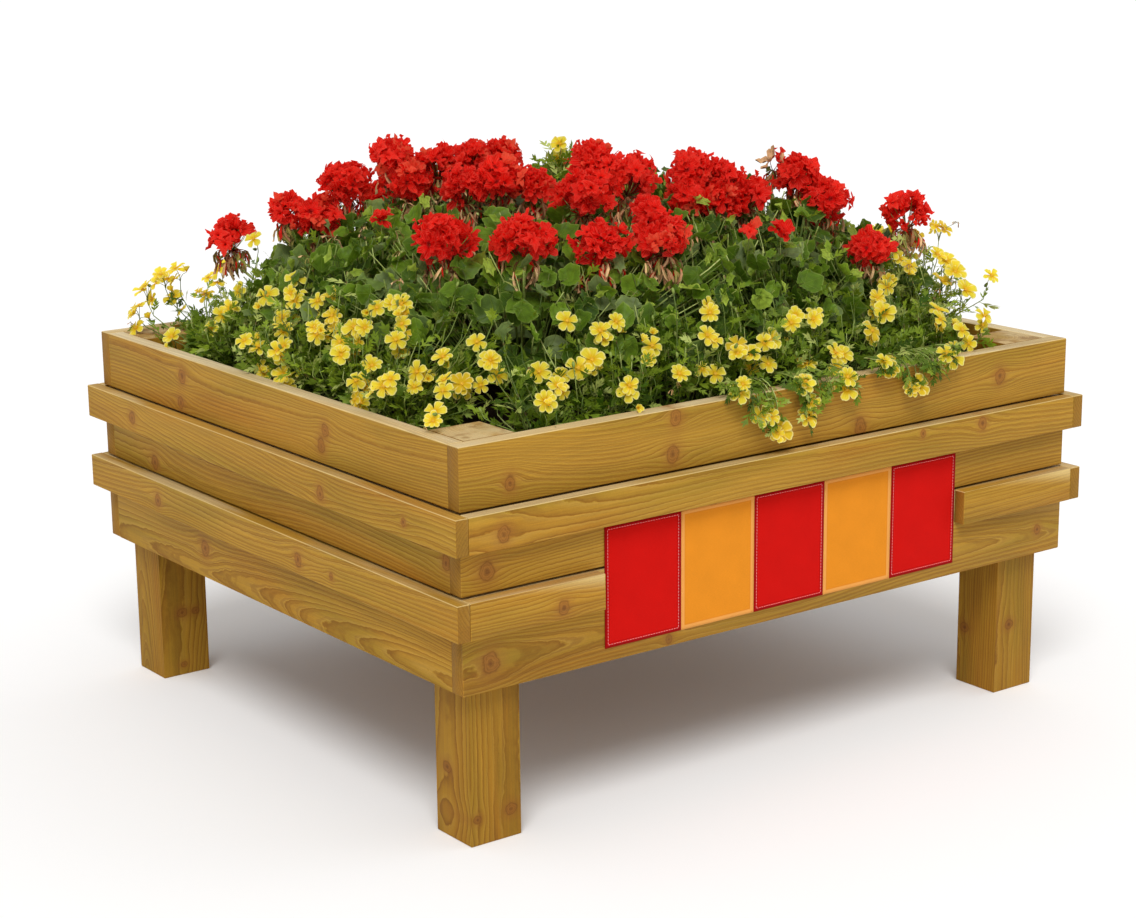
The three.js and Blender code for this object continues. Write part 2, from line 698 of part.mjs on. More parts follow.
const LEAF_TRIES = 9;
const LEAF_LOWERED = 7;
const LEAF_SHRUNK = 0.04;
const leafDraw = drawer(23);
for (let k = 0; k < LEAF_COUNT; k++) {
  const share = LEAF_REACH * Math.sqrt((k + 0.5) / LEAF_COUNT);
  const [x, y] = placeInPlan(k * GOLDEN_ANGLE, share, MOUND_HALF_X, MOUND_HALF_Y, MOUND_ROUNDING);
  const drop = LEAF_DROP * leafDraw();
  const lean = leanDrawn(LEAF_LEAN, leafDraw);
  const turn = TURN * leafDraw();
  const size = LEAF_RADIUS * (1 + LEAF_SIZE_RANGE * (leafDraw() - 0.5));
  const plant = nearestPlant(x, y);
  const facing = moundNormal(x, y).add(lean).normalize();
  const ways = Array.from({ length: LEAF_TRIES }, (_, attempt) => () => {
    const z = moundHeight(x, y) - drop - LEAF_LOWERED * attempt;
    const centre = new THREE.Vector3(x, y, z);
    const radii = leafRadii(size * (1 - LEAF_SHRUNK * attempt));
    const root = rootInCore(plant, centre);
    return bladeOnStalk({ root, centre, facing, radii, turn, ...LEAF_FORM });
  });
  placeBest(plant.node, ways);
}

// Bidens plants: name, the stretch of the border in turns of the circle, the number of blooms and
// leaves, and the middle of the low core in plan with its half lengths.
const BIDENS_CORE_Z = 592;
const BIDENS_CORE_HALF_WIDTH = 26;
const BIDENS_CORE_HALF_HEIGHT = 20;
const BIDENS = [
  { name: "left", from: 0.36, to: 0.615, blooms: 24, leaves: 13, coreAt: [-530, 0], halfRun: 330 },
  { name: "front_left", from: 0.63, to: 0.745, blooms: 13, leaves: 12, coreAt: [-230, -468], halfRun: 240 },
  { name: "front_right", from: 0.755, to: 0.865, blooms: 17, leaves: 11, coreAt: [250, -468], halfRun: 225 },
  { name: "right", from: 0.875, to: 1.115, blooms: 21, leaves: 14, coreAt: [530, 0], halfRun: 330 },
  { name: "back", from: 0.13, to: 0.345, blooms: 18, leaves: 14, coreAt: [0, 468], halfRun: 420 },
];
const STEM_AT_SHARE = 0.4;
const ROOT_RUN_SHARE = 0.8;

for (const plant of BIDENS) {
  plant.node = `bidens_${plant.name}`;
  plant.core = new THREE.Vector3(...plant.coreAt, BIDENS_CORE_Z);
  plant.alongX = plant.name !== "left" && plant.name !== "right";
}

// The point of the core's middle line at a distance along it from its middle.
function pointOnCore(plant, distance) {
  const step = plant.alongX ? new THREE.Vector3(distance, 0, 0) : new THREE.Vector3(0, distance, 0);
  return plant.core.clone().add(step);
}

// The point of the core's middle line nearest to a place.
function rootAlongCore(plant, target) {
  const offset = target.clone().sub(plant.core);
  const along = plant.alongX ? offset.x : offset.y;
  const most = ROOT_RUN_SHARE * plant.halfRun;
  return pointOnCore(plant, Math.max(-most, Math.min(most, along)));
}

// A finely cut leaf: a long end lobe, a pair of side lobes and a short one at the stalk.
function cutLeafRadii(radius) {
  return CUT_LEAF_LOBES.flatMap((lobe) => [radius * lobe, radius * CUT_LEAF_MIDRIB]);
}

// How the blooms and the leaves of the border are spread: along it, outwards and upwards.
const BLOOM = {
  scatter: 0.6,
  nearest: 0.8,
  outward: 0.2,
  lowest: -8,
  upward: 48,
  lean: 0.9,
  radius: BIDENS_BLOOM_RADIUS,
  sizeRange: 0.3,
  radii: (radius) => petalRadii(radius, BLOOM_NOTCH),
  form: { cup: 3, crown: 1.5, back: 4, stalkRadius: BIDENS_STALK_RADIUS },
};
const CUT_LEAF = {
  scatter: 0.8,
  nearest: 0.8,
  outward: 0.17,
  lowest: -62,
  upward: 54,
  lean: 1,
  radius: BIDENS_LEAF_RADIUS,
  sizeRange: 0.3,
  radii: cutLeafRadii,
  form: { cup: 4, crown: 0.8, back: 4, stalkRadius: BIDENS_STALK_RADIUS },
};

const BORDER_TRIES = 9;
const BORDER_INWARD = 0.01;
const BORDER_RAISED = 4;

function placeOnBorder(plant, x, y, lift, build) {
  const ways = Array.from({ length: BORDER_TRIES }, (_, attempt) => () => {
    const inward = 1 - BORDER_INWARD * attempt;
    const z = moundHeight(x, y) + lift + BORDER_RAISED * attempt;
    return build(new THREE.Vector3(x * inward, y * inward, z));
  });
  placeBest(plant.node, ways);
}

BIDENS.forEach((plant, index) => {
  const draw = drawer(101 + index);
  const core = new THREE.IcosahedronGeometry(1, 0);
  const [runX, runY] = plant.alongX
    ? [plant.halfRun, BIDENS_CORE_HALF_WIDTH]
    : [BIDENS_CORE_HALF_WIDTH, plant.halfRun];
  core.scale(runX, runY, BIDENS_CORE_HALF_HEIGHT);
  core.translate(plant.core.x, plant.core.y, plant.core.z);
  place(plant.node, solidFromGeometry(core), true);
  for (const share of [-STEM_AT_SHARE, STEM_AT_SHARE]) {
    const foot = pointOnCore(plant, share * plant.halfRun);
    plantStem(plant.node, foot.x, foot.y, BIDENS_STEM_RADIUS, foot.z);
  }
  for (const [count, kind] of [[plant.blooms, BLOOM], [plant.leaves, CUT_LEAF]]) {
    for (let k = 0; k < count; k++) {
      const along = (k + 0.5 + kind.scatter * (draw() - 0.5)) / count;
      const share = kind.nearest + kind.outward * draw();
      const lift = kind.lowest + kind.upward * draw();
      const lean = leanDrawn(kind.lean, draw);
      const turn = TURN * draw();
      const radius = kind.radius * (1 + kind.sizeRange * (draw() - 0.5));
      const angle = TURN * (plant.from + (plant.to - plant.from) * along);
      const [x, y] = placeInPlan(angle, share, BIDENS_HALF_X, BIDENS_HALF_Y, BIDENS_ROUNDING);
      const facing = moundNormal(x, y).add(lean).normalize();
      placeOnBorder(plant, x, y, lift, (centre) =>
        bladeOnStalk({
          root: rootAlongCore(plant, centre),
          centre,
          facing,
          radii: kind.radii(radius),
          turn,
          ...kind.form,
        }),
      );
    }
  }
});

// Shoots that hang over the front rim: along X, height of the bloom or leaf, and its kind.
const TRAILING = [
  [-119, 628, "bloom"],
  [-76, 586, "bloom"],
  [-38, 556, "bloom"],
  [10, 622, "bloom"],
  [22, 570, "bloom"],
  [58, 592, "leaf"],
  [102, 602, "bloom"],
  [192, 622, "bloom"],
  [258, 586, "bloom"],
  [300, 606, "leaf"],
  [335, 622, "bloom"],
];
const TRAILING_OUT = 9;
const TRAILING_LEAF_RADIUS = 24;
const TRAILING_FACING = new THREE.Vector3(0.15, -1, 0.45).normalize();
const TRAILING_FORM = { cup: 2, crown: 1, back: 3, stalkRadius: BIDENS_STALK_RADIUS };
const OVER_RIM = 9;
const trailingPlant = BIDENS.find((plant) => plant.name === "front_right");
const frontFace = -BOX_DEPTH / 2;
const innerFace = frontFace + BOARD_THICKNESS;
TRAILING.forEach(([x, z, kind], i) => {
  const centre = new THREE.Vector3(x, frontFace - TRAILING_OUT, z);
  const over = [
    new THREE.Vector3(x, innerFace + 18, RIM + OVER_RIM + 4),
    new THREE.Vector3(x, frontFace + 8, RIM + OVER_RIM),
  ];
  if (z < RIM) over.push(new THREE.Vector3(x, frontFace - 5, RIM));
  const radii = kind === "leaf" ? cutLeafRadii(TRAILING_LEAF_RADIUS) : BLOOM.radii(BIDENS_BLOOM_RADIUS);
  const root = rootAlongCore(trailingPlant, centre);
  const shoot = { root, over, centre, facing: TRAILING_FACING, radii, turn: i, ...TRAILING_FORM };
  placeIfClear(trailingPlant.node, bladeOnStalk(shoot));
});

const soil = soilBlock.subtract(wasm.Manifold.union(holes));
addMesh("soil", geometryFromSolid(soil), SOIL, 1);

for (const bunch of Object.keys(BUNCHES)) {
  const node = `geranium_heads_${bunch}`;
  addMesh(node, geometryFromSolid(fused(node)), GERANIUM_RED, 0.6);
}
for (const plant of geraniums) addMesh(plant.node, geometryFromSolid(fused(plant.node)), GERANIUM_GREEN, 0.7);
for (const plant of BIDENS) addMesh(plant.node, geometryFromSolid(fused(plant.node)), BIDENS_GREEN, 0.7);

export default planter;
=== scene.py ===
"""Looks of a raised timber planter box on four legs, planted with red geraniums and yellow bidens.

Metres, +Z up. The long front side, which carries the banner, faces -Y. The sizes that the plants share
with the solids are written in millimetres, as there, and turned into metres where they are used.
"""

import math
from collections import namedtuple

import bpy
import numpy as np
from mathutils import Matrix, Vector, noise


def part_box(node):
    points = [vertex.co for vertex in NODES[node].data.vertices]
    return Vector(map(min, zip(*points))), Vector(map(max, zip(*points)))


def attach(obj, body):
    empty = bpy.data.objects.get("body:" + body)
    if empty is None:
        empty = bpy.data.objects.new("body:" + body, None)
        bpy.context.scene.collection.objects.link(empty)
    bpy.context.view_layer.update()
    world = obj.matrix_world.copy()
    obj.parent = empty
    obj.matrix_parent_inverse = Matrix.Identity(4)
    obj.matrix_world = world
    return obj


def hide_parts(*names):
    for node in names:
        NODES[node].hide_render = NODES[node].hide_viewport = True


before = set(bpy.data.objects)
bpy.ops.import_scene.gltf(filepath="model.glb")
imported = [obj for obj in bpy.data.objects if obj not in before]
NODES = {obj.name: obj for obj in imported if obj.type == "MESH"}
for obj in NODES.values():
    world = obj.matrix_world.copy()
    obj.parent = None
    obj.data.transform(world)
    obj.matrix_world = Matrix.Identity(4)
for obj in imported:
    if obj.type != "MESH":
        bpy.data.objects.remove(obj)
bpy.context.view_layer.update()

MM = 0.001
TURN = 2 * math.pi
GOLDEN_ANGLE = math.pi * (3 - math.sqrt(5))
UP = np.array([0.0, 0.0, 1.0])


class Draws:
    """Random draws from 0 to 1 that are the same on every run, by the rule that the solids use."""

    def __init__(self, seed):
        self.state = seed

    def __call__(self):
        self.state = (self.state * 1664525 + 1013904223) % 2**32
        return self.state / 2**32

    def between(self, low, high):
        return low + (high - low) * self()

    def vector(self, most):
        return np.array([self() - 0.5, self() - 0.5, self() - 0.5]) * 2 * most

    def pick(self, rows):
        return rows[int(len(rows) * self())]


def unit(vector):
    return vector / np.linalg.norm(vector)


def level(angle):
    """The level direction at an angle from +X."""
    return np.array([math.cos(angle), math.sin(angle), 0.0])


def metres(*place):
    """A place given in millimetres."""
    return np.array(place) * MM


# Camera, as fitted to the box's corners in the photograph

FRAME_WIDTH, FRAME_HEIGHT = 1136, 918
CAMERA_AT = np.array([-2.4612, -3.2873, 1.4182])
YAW, PITCH, ROLL = 0.639, -0.244, -0.010
FOCAL_PIXELS = 2423.3
SENSOR_WIDTH = 36.0

FORWARD = np.array([
    math.sin(YAW) * math.cos(PITCH),
    math.cos(YAW) * math.cos(PITCH),
    math.sin(PITCH),
])
LEVEL_RIGHT = np.array([math.cos(YAW), -math.sin(YAW), 0.0])
LEVEL_UP = np.cross(LEVEL_RIGHT, FORWARD)
CAMERA_RIGHT = LEVEL_RIGHT * math.cos(ROLL) + LEVEL_UP * math.sin(ROLL)
CAMERA_UP = LEVEL_UP * math.cos(ROLL) - LEVEL_RIGHT * math.sin(ROLL)


def make_camera():
    data = bpy.data.cameras.new("camera")
    data.sensor_width = SENSOR_WIDTH
    data.lens = FOCAL_PIXELS / FRAME_WIDTH * SENSOR_WIDTH
    data.clip_end = 200
    camera = bpy.data.objects.new("camera", data)
    axes = Matrix(np.column_stack([CAMERA_RIGHT, CAMERA_UP, -FORWARD]).tolist())
    camera.matrix_world = Matrix.Translation(CAMERA_AT) @ axes.to_4x4()
    bpy.context.scene.collection.objects.link(camera)
    bpy.context.scene.camera = camera


def ray_through(u, v):
    """The direction from the camera through a pixel of the photograph."""
    across = CAMERA_RIGHT * (u - FRAME_WIDTH / 2)
    down = CAMERA_UP * (v - FRAME_HEIGHT / 2)
    return unit(FORWARD * FOCAL_PIXELS + across - down)


# Material building


def paint(red, green, blue):
    """A colour as the photograph's 0 to 255 values, made linear."""
    def linear(value):
        share = value / 255
        return share / 12.92 if share <= 0.04045 else ((share + 0.055) / 1.055) ** 2.4

    return (linear(red), linear(green), linear(blue), 1.0)


def calculation(operation, swapped=False):
    """A method that makes the node for a calculation with a wire and, where it takes two, another
    wire or a number."""
    def made(self, other=None):
        pair = (other, self) if swapped else (self, other)
        return self.graph.wire(self.maths, *pair, operation=operation)

    return made


class Wire:
    """A node's output. It is added, multiplied and so on as a number is, and each time makes a node."""

    def __init__(self, graph, socket):
        self.graph = graph
        self.socket = socket
        self.maths = "ShaderNodeVectorMath" if socket.type == "VECTOR" else "ShaderNodeMath"

    __add__ = calculation("ADD")
    __sub__ = calculation("SUBTRACT")
    __rsub__ = calculation("SUBTRACT", swapped=True)
    __mul__ = calculation("MULTIPLY")
    __truediv__ = calculation("DIVIDE")
    __pow__ = calculation("POWER")
    __abs__ = calculation("ABSOLUTE")
    sine = calculation("SINE")
    fraction = calculation("FRACT")
    exponent = calculation("EXPONENT")
    more = calculation("MAXIMUM")
    less = calculation("MINIMUM")
    angle_over = calculation("ARCTAN2")

    def length(self):
        return self.graph.wire(self.maths, self, out="Value", operation="LENGTH")

    def smooth(self, low, high):
        """0 where the value is at low, 1 where it is at high, and a smooth step between."""
        return self.graph.wire("ShaderNodeMapRange", self, low, high, interpolation_type="SMOOTHSTEP")

    def mix(self, a, b, blend="MIX"):
        """Colour a where the value is 0, and b where it is 1."""
        return self.graph.mix(self, a, b, blend)


class Graph:
    """Builds the nodes of one material."""

    def __init__(self, name):
        self.material = bpy.data.materials.new(name)
        self.material.use_nodes = True
        self.tree = self.material.node_tree
        self.tree.nodes.clear()

    def feed(self, socket, value):
        if isinstance(value, Wire):
            self.tree.links.new(value.socket, socket)
        elif value is not None:
            socket.default_value = value

    def node(self, kind, *inputs, named=None, **settings):
        made = self.tree.nodes.new(kind)
        for key, value in settings.items():
            setattr(made, key, value)
        for socket, value in zip(made.inputs, inputs):
            self.feed(socket, value)
        for key, value in (named or {}).items():
            self.feed(made.inputs[key], value)
        return made

    def wire(self, kind, *inputs, out=0, **rest):
        return Wire(self, self.node(kind, *inputs, **rest).outputs[out])

    def split(self, value, kind="ShaderNodeSeparateXYZ"):
        return [Wire(self, socket) for socket in self.node(kind, value).outputs]

    def combine(self, x, y, z=0.0):
        return self.wire("ShaderNodeCombineXYZ", x, y, z)

    def place(self):
        """The point's own place on the object."""
        return self.wire("ShaderNodeTexCoord", out="Object")

    def noise(self, place, scale, detail=2.0, roughness=0.5, out="Fac"):
        named = {"Scale": scale, "Detail": detail, "Roughness": roughness}
        return self.wire("ShaderNodeTexNoise", place, named=named, out=out)

    def mottle(self, scale, detail=2.0):
        """Noise that stays in place on the object."""
        return self.noise(self.place(), scale, detail)

    def mix(self, factor, a, b, blend="MIX"):
        made = self.node("ShaderNodeMix", data_type="RGBA", blend_type=blend)
        for index, value in ((0, factor), (6, a), (7, b)):
            self.feed(made.inputs[index], value)
        return Wire(self, made.outputs[2])

    def scaled(self, colour, amount):
        """The colour made lighter or darker by an amount round 1."""
        return self.mix(1.0, colour, self.combine(amount, amount, amount), "MULTIPLY")

    def bump(self, height, distance, strength=1.0):
        named = {"Strength": strength, "Distance": distance, "Height": height}
        return self.wire("ShaderNodeBump", named=named)

    def surface(self, colour, roughness, normal=None, see_through=0.0, **even):
        """The finished surface. see_through is the share of light that a thin blade lets through."""
        named = {"Base Color": colour, "Roughness": roughness, "Normal": normal}
        named.update({key.replace("_", " "): value for key, value in even.items()})
        shader = self.wire("ShaderNodeBsdfPrincipled", named=named)
        if see_through:
            thin = self.wire("ShaderNodeBsdfTranslucent", colour)
            shader = self.wire("ShaderNodeMixShader", see_through, shader, thin)
        self.node("ShaderNodeOutputMaterial", shader)
        return self.material


# Timber

# The axes that run along the grain, across the wide face and through the piece.
ALONG_X = (0, 2, 1)
ALONG_Y = (1, 2, 0)
UPRIGHT = (2, 0, 1)

RING_SPACING = 0.005
EARLY_WOOD = paint(178, 134, 42)
LATE_WOOD = paint(122, 72, 8)
PALE_WOOD = paint(190, 149, 66)
WARM_STAIN = paint(172, 118, 30)
OLIVE_STAIN = paint(158, 124, 34)
# The pale of the upward faces: partly bleached wood, partly painted light from above.
BLEACHED_AND_LIT = paint(226, 208, 166)
# Pale upper arrises: partly wear, partly a painted highlight.
WORN_ARRIS_HIGHLIGHT = paint(226, 200, 136)
# Dark end grain, also the colour of the posts' damp stains and of the painted shade in their top seams.
END_GRAIN_AND_SEAM_SHADE = paint(132, 90, 28)
KNOT_CORE = paint(106, 60, 22)
KNOT_WOOD = paint(156, 102, 38)
KNOT_RIM = paint(112, 66, 14)
BARE_WOOD = paint(118, 80, 42)
POST_STAIN = (0.8, 0.76, 0.55, 1.0)
NO_STAIN = (1.0, 1.0, 1.0, 1.0)

# How far a knot reaches along the grain, across it and through it, in its radii: its own wood, and the
# grain that gives way to it.
KNOT_REACH = (1.05, 1.25, 1.25)
SWAY_REACH = (4.2, 2.3, 2.3)
SWAY = 0.95


def knot_marks(graph, grain, ruffle, knot):
    """How far a knot pushes the grain aside, how much of it shows, and the distance from its middle."""
    centre, radius, looks_through = knot
    across = [1.0, 1.0, 1.0]
    across[looks_through] = 0.0
    offset = grain - centre

    def distance(reach):
        return (offset * [share / (most * radius) for share, most in zip(across, reach)]).length()

    near = distance(SWAY_REACH)
    fall = (near * near * -1.0).exponent()
    push = offset * (0.0, SWAY * across[1], SWAY * across[2]) * graph.combine(fall, fall, fall)
    away = distance(KNOT_REACH) + ruffle
    return push, away.smooth(1.35, 0.85), away


def knot_colour(away, speckle):
    """The wood of a knot by the distance from its middle: a dark core, fine rings and a thin rim."""
    rings = (away * 22.0).sine().smooth(0.1, 1.0)
    wood = (rings * 0.5).mix(KNOT_WOOD, KNOT_RIM)
    wood = (away.smooth(0.45, 0.1) * 0.8).mix(wood, KNOT_CORE)
    rim = away.smooth(0.75, 0.95) * away.smooth(1.2, 1.0)
    wood = (rim * 0.55).mix(wood, KNOT_RIM)
    return (speckle.smooth(0.55, 0.7) * 0.35).mix(wood, KNOT_CORE)


def pine(name, axes, middle, seed, knots, pith_depth, slope, bare, stain):
    """Planed pine with its growth rings, knots, fibres and stain. Pith depth is how far the rings'
    middle lies from the piece's, and bare is how much less of the stain it has, as inside the box."""
    draw = Draws(seed)
    graph = Graph(name)
    xyz = graph.split(graph.place())
    grain = graph.combine(*(xyz[axis] for axis in axes))
    moved = grain + (7 * draw(), 7 * draw(), 7 * draw())

    bend = graph.split(graph.noise(moved * (1.3, 2.4, 2.4), 1.0, 1.0, out="Color"))
    ruffled = graph.noise(moved * (60.0, 90.0, 90.0), 1.0) - 0.5
    ruffle = ruffled * 0.9
    pith_side, pith_above = (1 if draw() < 0.5 else -1 for _ in range(2))
    pith_across = middle[1] + pith_above * pith_depth * draw.between(0.5, 1.3)
    pith_through = middle[2] + pith_side * pith_depth * draw.between(0.6, 1.3)
    marks = [knot_marks(graph, grain, ruffle, knot) for knot in knots]
    parted = grain
    for push, _, _ in marks:
        parted = parted - push
    local = graph.split(parted)
    run = (local[0] - middle[0]) * (slope * draw.between(0.5, 1.3))
    aside = local[1] - pith_across + (bend[0] - 0.5) * 0.12
    deep = local[2] - pith_through + run + (bend[1] - 0.5) * 0.03
    from_pith = graph.combine(aside, deep).length()
    uneven = graph.noise(graph.combine(from_pith, 0.0, draw()), 45.0)
    rings = from_pith / RING_SPACING + uneven * 3.2 + ruffled * 0.35

    place_in_ring = rings.fraction()
    patches = graph.split(graph.noise(moved * (2.2, 14.0, 14.0), 1.0, 3.0, out="Color"))
    late = place_in_ring**4.0 * place_in_ring.smooth(1.0, 0.92) * patches[0].smooth(0.2, 0.52)
    fine = (rings * (TURN * 2)).sine().smooth(0.1, 1.0) * patches[1].smooth(0.42, 0.58)
    fibre = graph.noise(moved * (9.0, 330.0, 330.0), 1.0, 4.0, 0.7)
    speckle = graph.noise(moved * (320.0, 640.0, 640.0), 1.0, 1.0)
    tinge = graph.split(graph.noise(moved * (2.6, 17.0, 17.0), 1.0, out="Color"))
    facing = graph.split(graph.wire("ShaderNodeNewGeometry", out="Normal"))
    # Upward faces are painted paler, with fainter grain and stain, more so near the rim and in patches:
    # partly bleaching by weather, partly painted light where the tops face the light.
    tops = facing[2].smooth(0.35, 0.9)
    at_rim = 0.15 if axes == UPRIGHT else 0.5
    bleach_and_light = xyz[2].smooth(0.5, 0.6) * at_rim + patches[0].smooth(0.38, 0.6) * 0.45

    colour = tinge[0].smooth(0.45, 0.8).mix(EARLY_WOOD, WARM_STAIN)
    colour = tinge[1].smooth(0.42, 0.75).mix(colour, OLIVE_STAIN)
    colour = (place_in_ring.smooth(0.4, 0.0) * 0.4).mix(colour, PALE_WOOD)
    colour = (tops * bleach_and_light).mix(colour, BLEACHED_AND_LIT)
    colour = (late * (0.95 - tops * 0.55)).mix(colour, LATE_WOOD)
    colour = (fine * 0.4).mix(colour, LATE_WOOD)
    if bare:
        colour = graph.mix(bare, colour, BARE_WOOD)
    for _, shows, away in marks:
        colour = (away.smooth(2.8, 1.0) * 0.4).mix(colour, KNOT_WOOD)
        colour = (shows * 0.85).mix(colour, knot_colour(away, speckle))
    colour = (1.0 - tops * 0.75).mix(colour, stain, "MULTIPLY")

    square = [abs(part) for part in facing]
    arris = square[0].more(square[1]).more(square[2]).smooth(0.985, 0.88) * facing[2].smooth(0.1, 0.3)
    if axes == UPRIGHT:
        damp = graph.noise(moved * (1.0, 30.0, 30.0), 1.0).smooth(0.44, 0.6) * (tops * 0.6)
        # Damp stains on the post tops, and the posts' upper arrises painted dark: painted shade in the seam
        # where a post's top meets the boards.
        colour = damp.more(arris).mix(colour, END_GRAIN_AND_SEAM_SHADE)
    else:
        colour = (square[axes[0]].smooth(0.5, 0.9) * 0.6).mix(colour, END_GRAIN_AND_SEAM_SHADE)
        # Upper arrises of boards and battens painted pale: partly wear, partly a painted highlight where
        # they catch the light.
        colour = (arris * 0.6).mix(colour, WORN_ARRIS_HIGHLIGHT)
    colour = graph.scaled(colour, fibre * 0.7 + 0.52 + speckle * 0.2)
    bump = graph.bump(late * 0.3 + fibre, 0.0004, 0.6)
    return graph.surface(colour, fibre * 0.25 + 0.55, bump, Specular_IOR_Level=0.2)


def knots_at(through, rows):
    """Knots from rows of a place along the grain and across it in millimetres, and a radius."""
    made = []
    for along, across, radius in rows:
        centre = [along * MM, 0.0, 0.0]
        centre[3 - through] = across * MM
        made.append((tuple(centre), radius * MM, through))
    return made


# Knots as seen in the photograph: the place along the grain, the height and the radius. The knots of
# a post are given as the height, the place along X or Y and the radius, on its front and left faces.
FACE_KNOTS = {
    "board_front_top": [(-535, 552, 9), (-230, 603, 10), (-236, 548, 11), (147, 533, 11), (464, 573, 10)],
    "batten_front_upper": [(-563, 485, 10), (403, 505, 8), (266, 508, 5)],
    "board_front_middle": [(-578, 428, 12)],
    "batten_front_lower_left": [(-458, 356, 9)],
    "board_front_bottom": [(-574, 290, 14), (-244, 259, 6), (568, 291, 7)],
    "board_left_top": [(260, 585, 10), (269, 538, 9), (-196, 575, 9), (-183, 551, 10)],
    "batten_left_upper": [(409, 490, 9), (-212, 483, 9), (-443, 489, 5)],
    "board_left_middle": [(375, 415, 10), (-519, 441, 9)],
    "batten_left_lower": [(328, 361, 9), (-138, 362, 9), (-236, 358, 5)],
    "board_left_bottom": [(208, 299, 12)],
    "board_right_top": [(-120, 560, 10), (310, 585, 8)],
    "board_right_middle": [(90, 450, 10)],
    "board_right_bottom": [(-300, 310, 12), (250, 330, 8)],
    "batten_right_upper": [(-60, 488, 9)],
    "batten_right_lower": [(330, 362, 8)],
    "board_back_top": [(-310, 570, 10), (200, 548, 9)],
    "board_back_middle": [(60, 440, 11)],
    "board_back_bottom": [(-450, 320, 12), (380, 300, 9)],
    "batten_back_upper": [(250, 492, 8)],
    "batten_back_lower": [(-160, 360, 9)],
}
POST_FRONT_KNOTS = {
    "post_front_left": [(44, -523, 9), (41, -583, 6)],
    "post_front_right": [(119, 537, 8)],
    "post_back_left": [(115, -554, 8), (115, -526, 6), (19, -555, 5)],
    "post_back_right": [(160, 530, 8)],
}
POST_SIDE_KNOTS = {
    "post_front_left": [(109, -467, 8)],
    "post_front_right": [(101, -453, 8)],
    "post_back_left": [],
    "post_back_right": [(70, 480, 7)],
}
# How each kind of timber was cut and finished: pith depth, slope of the grain, how bare it is, stain
CUTS = {
    "post": (0.03, 0.012, 0.0, POST_STAIN),
    "board": (0.07, 0.03, 0.0, NO_STAIN),
    "batten": (0.07, 0.03, 0.0, NO_STAIN),
    "floor": (0.07, 0.03, 0.8, NO_STAIN),
}
FIRST_PINE_SEED = 41
ARRIS_RADIUS = 0.0016
ARRIS_STEPS = 3
MERGE_WITHIN = 0.00001


def round_arrises(piece):
    """Rounds the edges of a planed piece."""
    weld = piece.modifiers.new("weld", "WELD")
    weld.merge_threshold = MERGE_WITHIN
    bevel = piece.modifiers.new("arris", "BEVEL")
    bevel.width = ARRIS_RADIUS
    bevel.segments = ARRIS_STEPS
    bevel.limit_method = "ANGLE"
    bevel.harden_normals = True
    for polygon in piece.data.polygons:
        polygon.use_smooth = True


def finish_timber():
    timber = [name for name in NODES if name.split("_")[0] in CUTS]
    for seed, name in enumerate(timber, FIRST_PINE_SEED):
        kind, side = name.split("_")[:2]
        if kind == "post":
            axes = UPRIGHT
            knots = knots_at(2, POST_FRONT_KNOTS[name]) + knots_at(1, POST_SIDE_KNOTS[name])
        else:
            axes = ALONG_Y if side in ("left", "right") else ALONG_X
            knots = knots_at(2, FACE_KNOTS.get(name, []))
        low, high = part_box(name)
        middle = (low + high) / 2
        local = tuple(middle[axis] for axis in axes)
        piece = NODES[name]
        piece.data.materials.clear()
        piece.data.materials.append(pine(name + "_pine", axes, local, seed, knots, *CUTS[kind]))
        round_arrises(piece)


# Floor and light

FLOOR_REACH = 60.0
SKY_LIGHT = 0.62

# Each light's bearing from the front towards the left, its elevation, power and width.
KEY = (math.radians(39), math.radians(52), 1.9, math.radians(28))
FILL = (math.radians(-75), math.radians(30), 0.35, math.radians(60))


def add_light(name, bearing, elevation, power, width):
    """An even light from far away, as from a wide lamp behind a screen."""
    data = bpy.data.lights.new(name, "SUN")
    data.energy = power
    data.angle = width
    light = bpy.data.objects.new(name, data)
    flat = math.cos(elevation)
    from_it = Vector((-flat * math.sin(bearing), -flat * math.cos(bearing), math.sin(elevation)))
    light.rotation_euler = (-from_it).to_track_quat("-Z", "Y").to_euler()
    light.location = from_it * 5
    bpy.context.scene.collection.objects.link(light)


def make_studio():
    mesh = bpy.data.meshes.new("floor")
    reach = FLOOR_REACH
    corners = [(-reach, -reach, 0), (reach, -reach, 0), (reach, reach, 0), (-reach, reach, 0)]
    mesh.from_pydata(corners, [], [(0, 1, 2, 3)])
    ground = bpy.data.objects.new("floor", mesh)
    bpy.context.scene.collection.objects.link(ground)
    graph = Graph("studio_floor")
    mesh.materials.append(graph.surface(paint(248, 248, 248), 0.9, Specular_IOR_Level=0.1))

    world = bpy.data.worlds.new("studio")
    world.use_nodes = True
    background = world.node_tree.nodes["Background"]
    background.inputs["Color"].default_value = (1, 1, 1, 1)
    background.inputs["Strength"].default_value = SKY_LIGHT
    bpy.context.scene.world = world
    add_light("key", *KEY)
    add_light("fill", *FILL)
    bpy.context.scene.view_settings.view_transform = "Standard"


# Small shapes that are copied many times


class Shape:
    """A small open or closed sheet: its points, triangles, flat coordinates for its markings and the
    age of each point, which is 0 at the base of a blade and 1 at its tip."""

    def __init__(self, points, triangles, flat, age):
        self.points = np.asarray(points, float)
        self.triangles = np.asarray(triangles, int)
        self.flat = np.asarray(flat, float)
        self.age = np.asarray(age, float)


def joined(shapes):
    """Several shapes as one."""
    starts = np.cumsum([0] + [len(shape.points) for shape in shapes[:-1]])
    parts = zip(*(
        (shape.points, shape.triangles + start, shape.flat, shape.age)
        for shape, start in zip(shapes, starts)
    ))
    return Shape(*(np.concatenate(part) for part in parts))


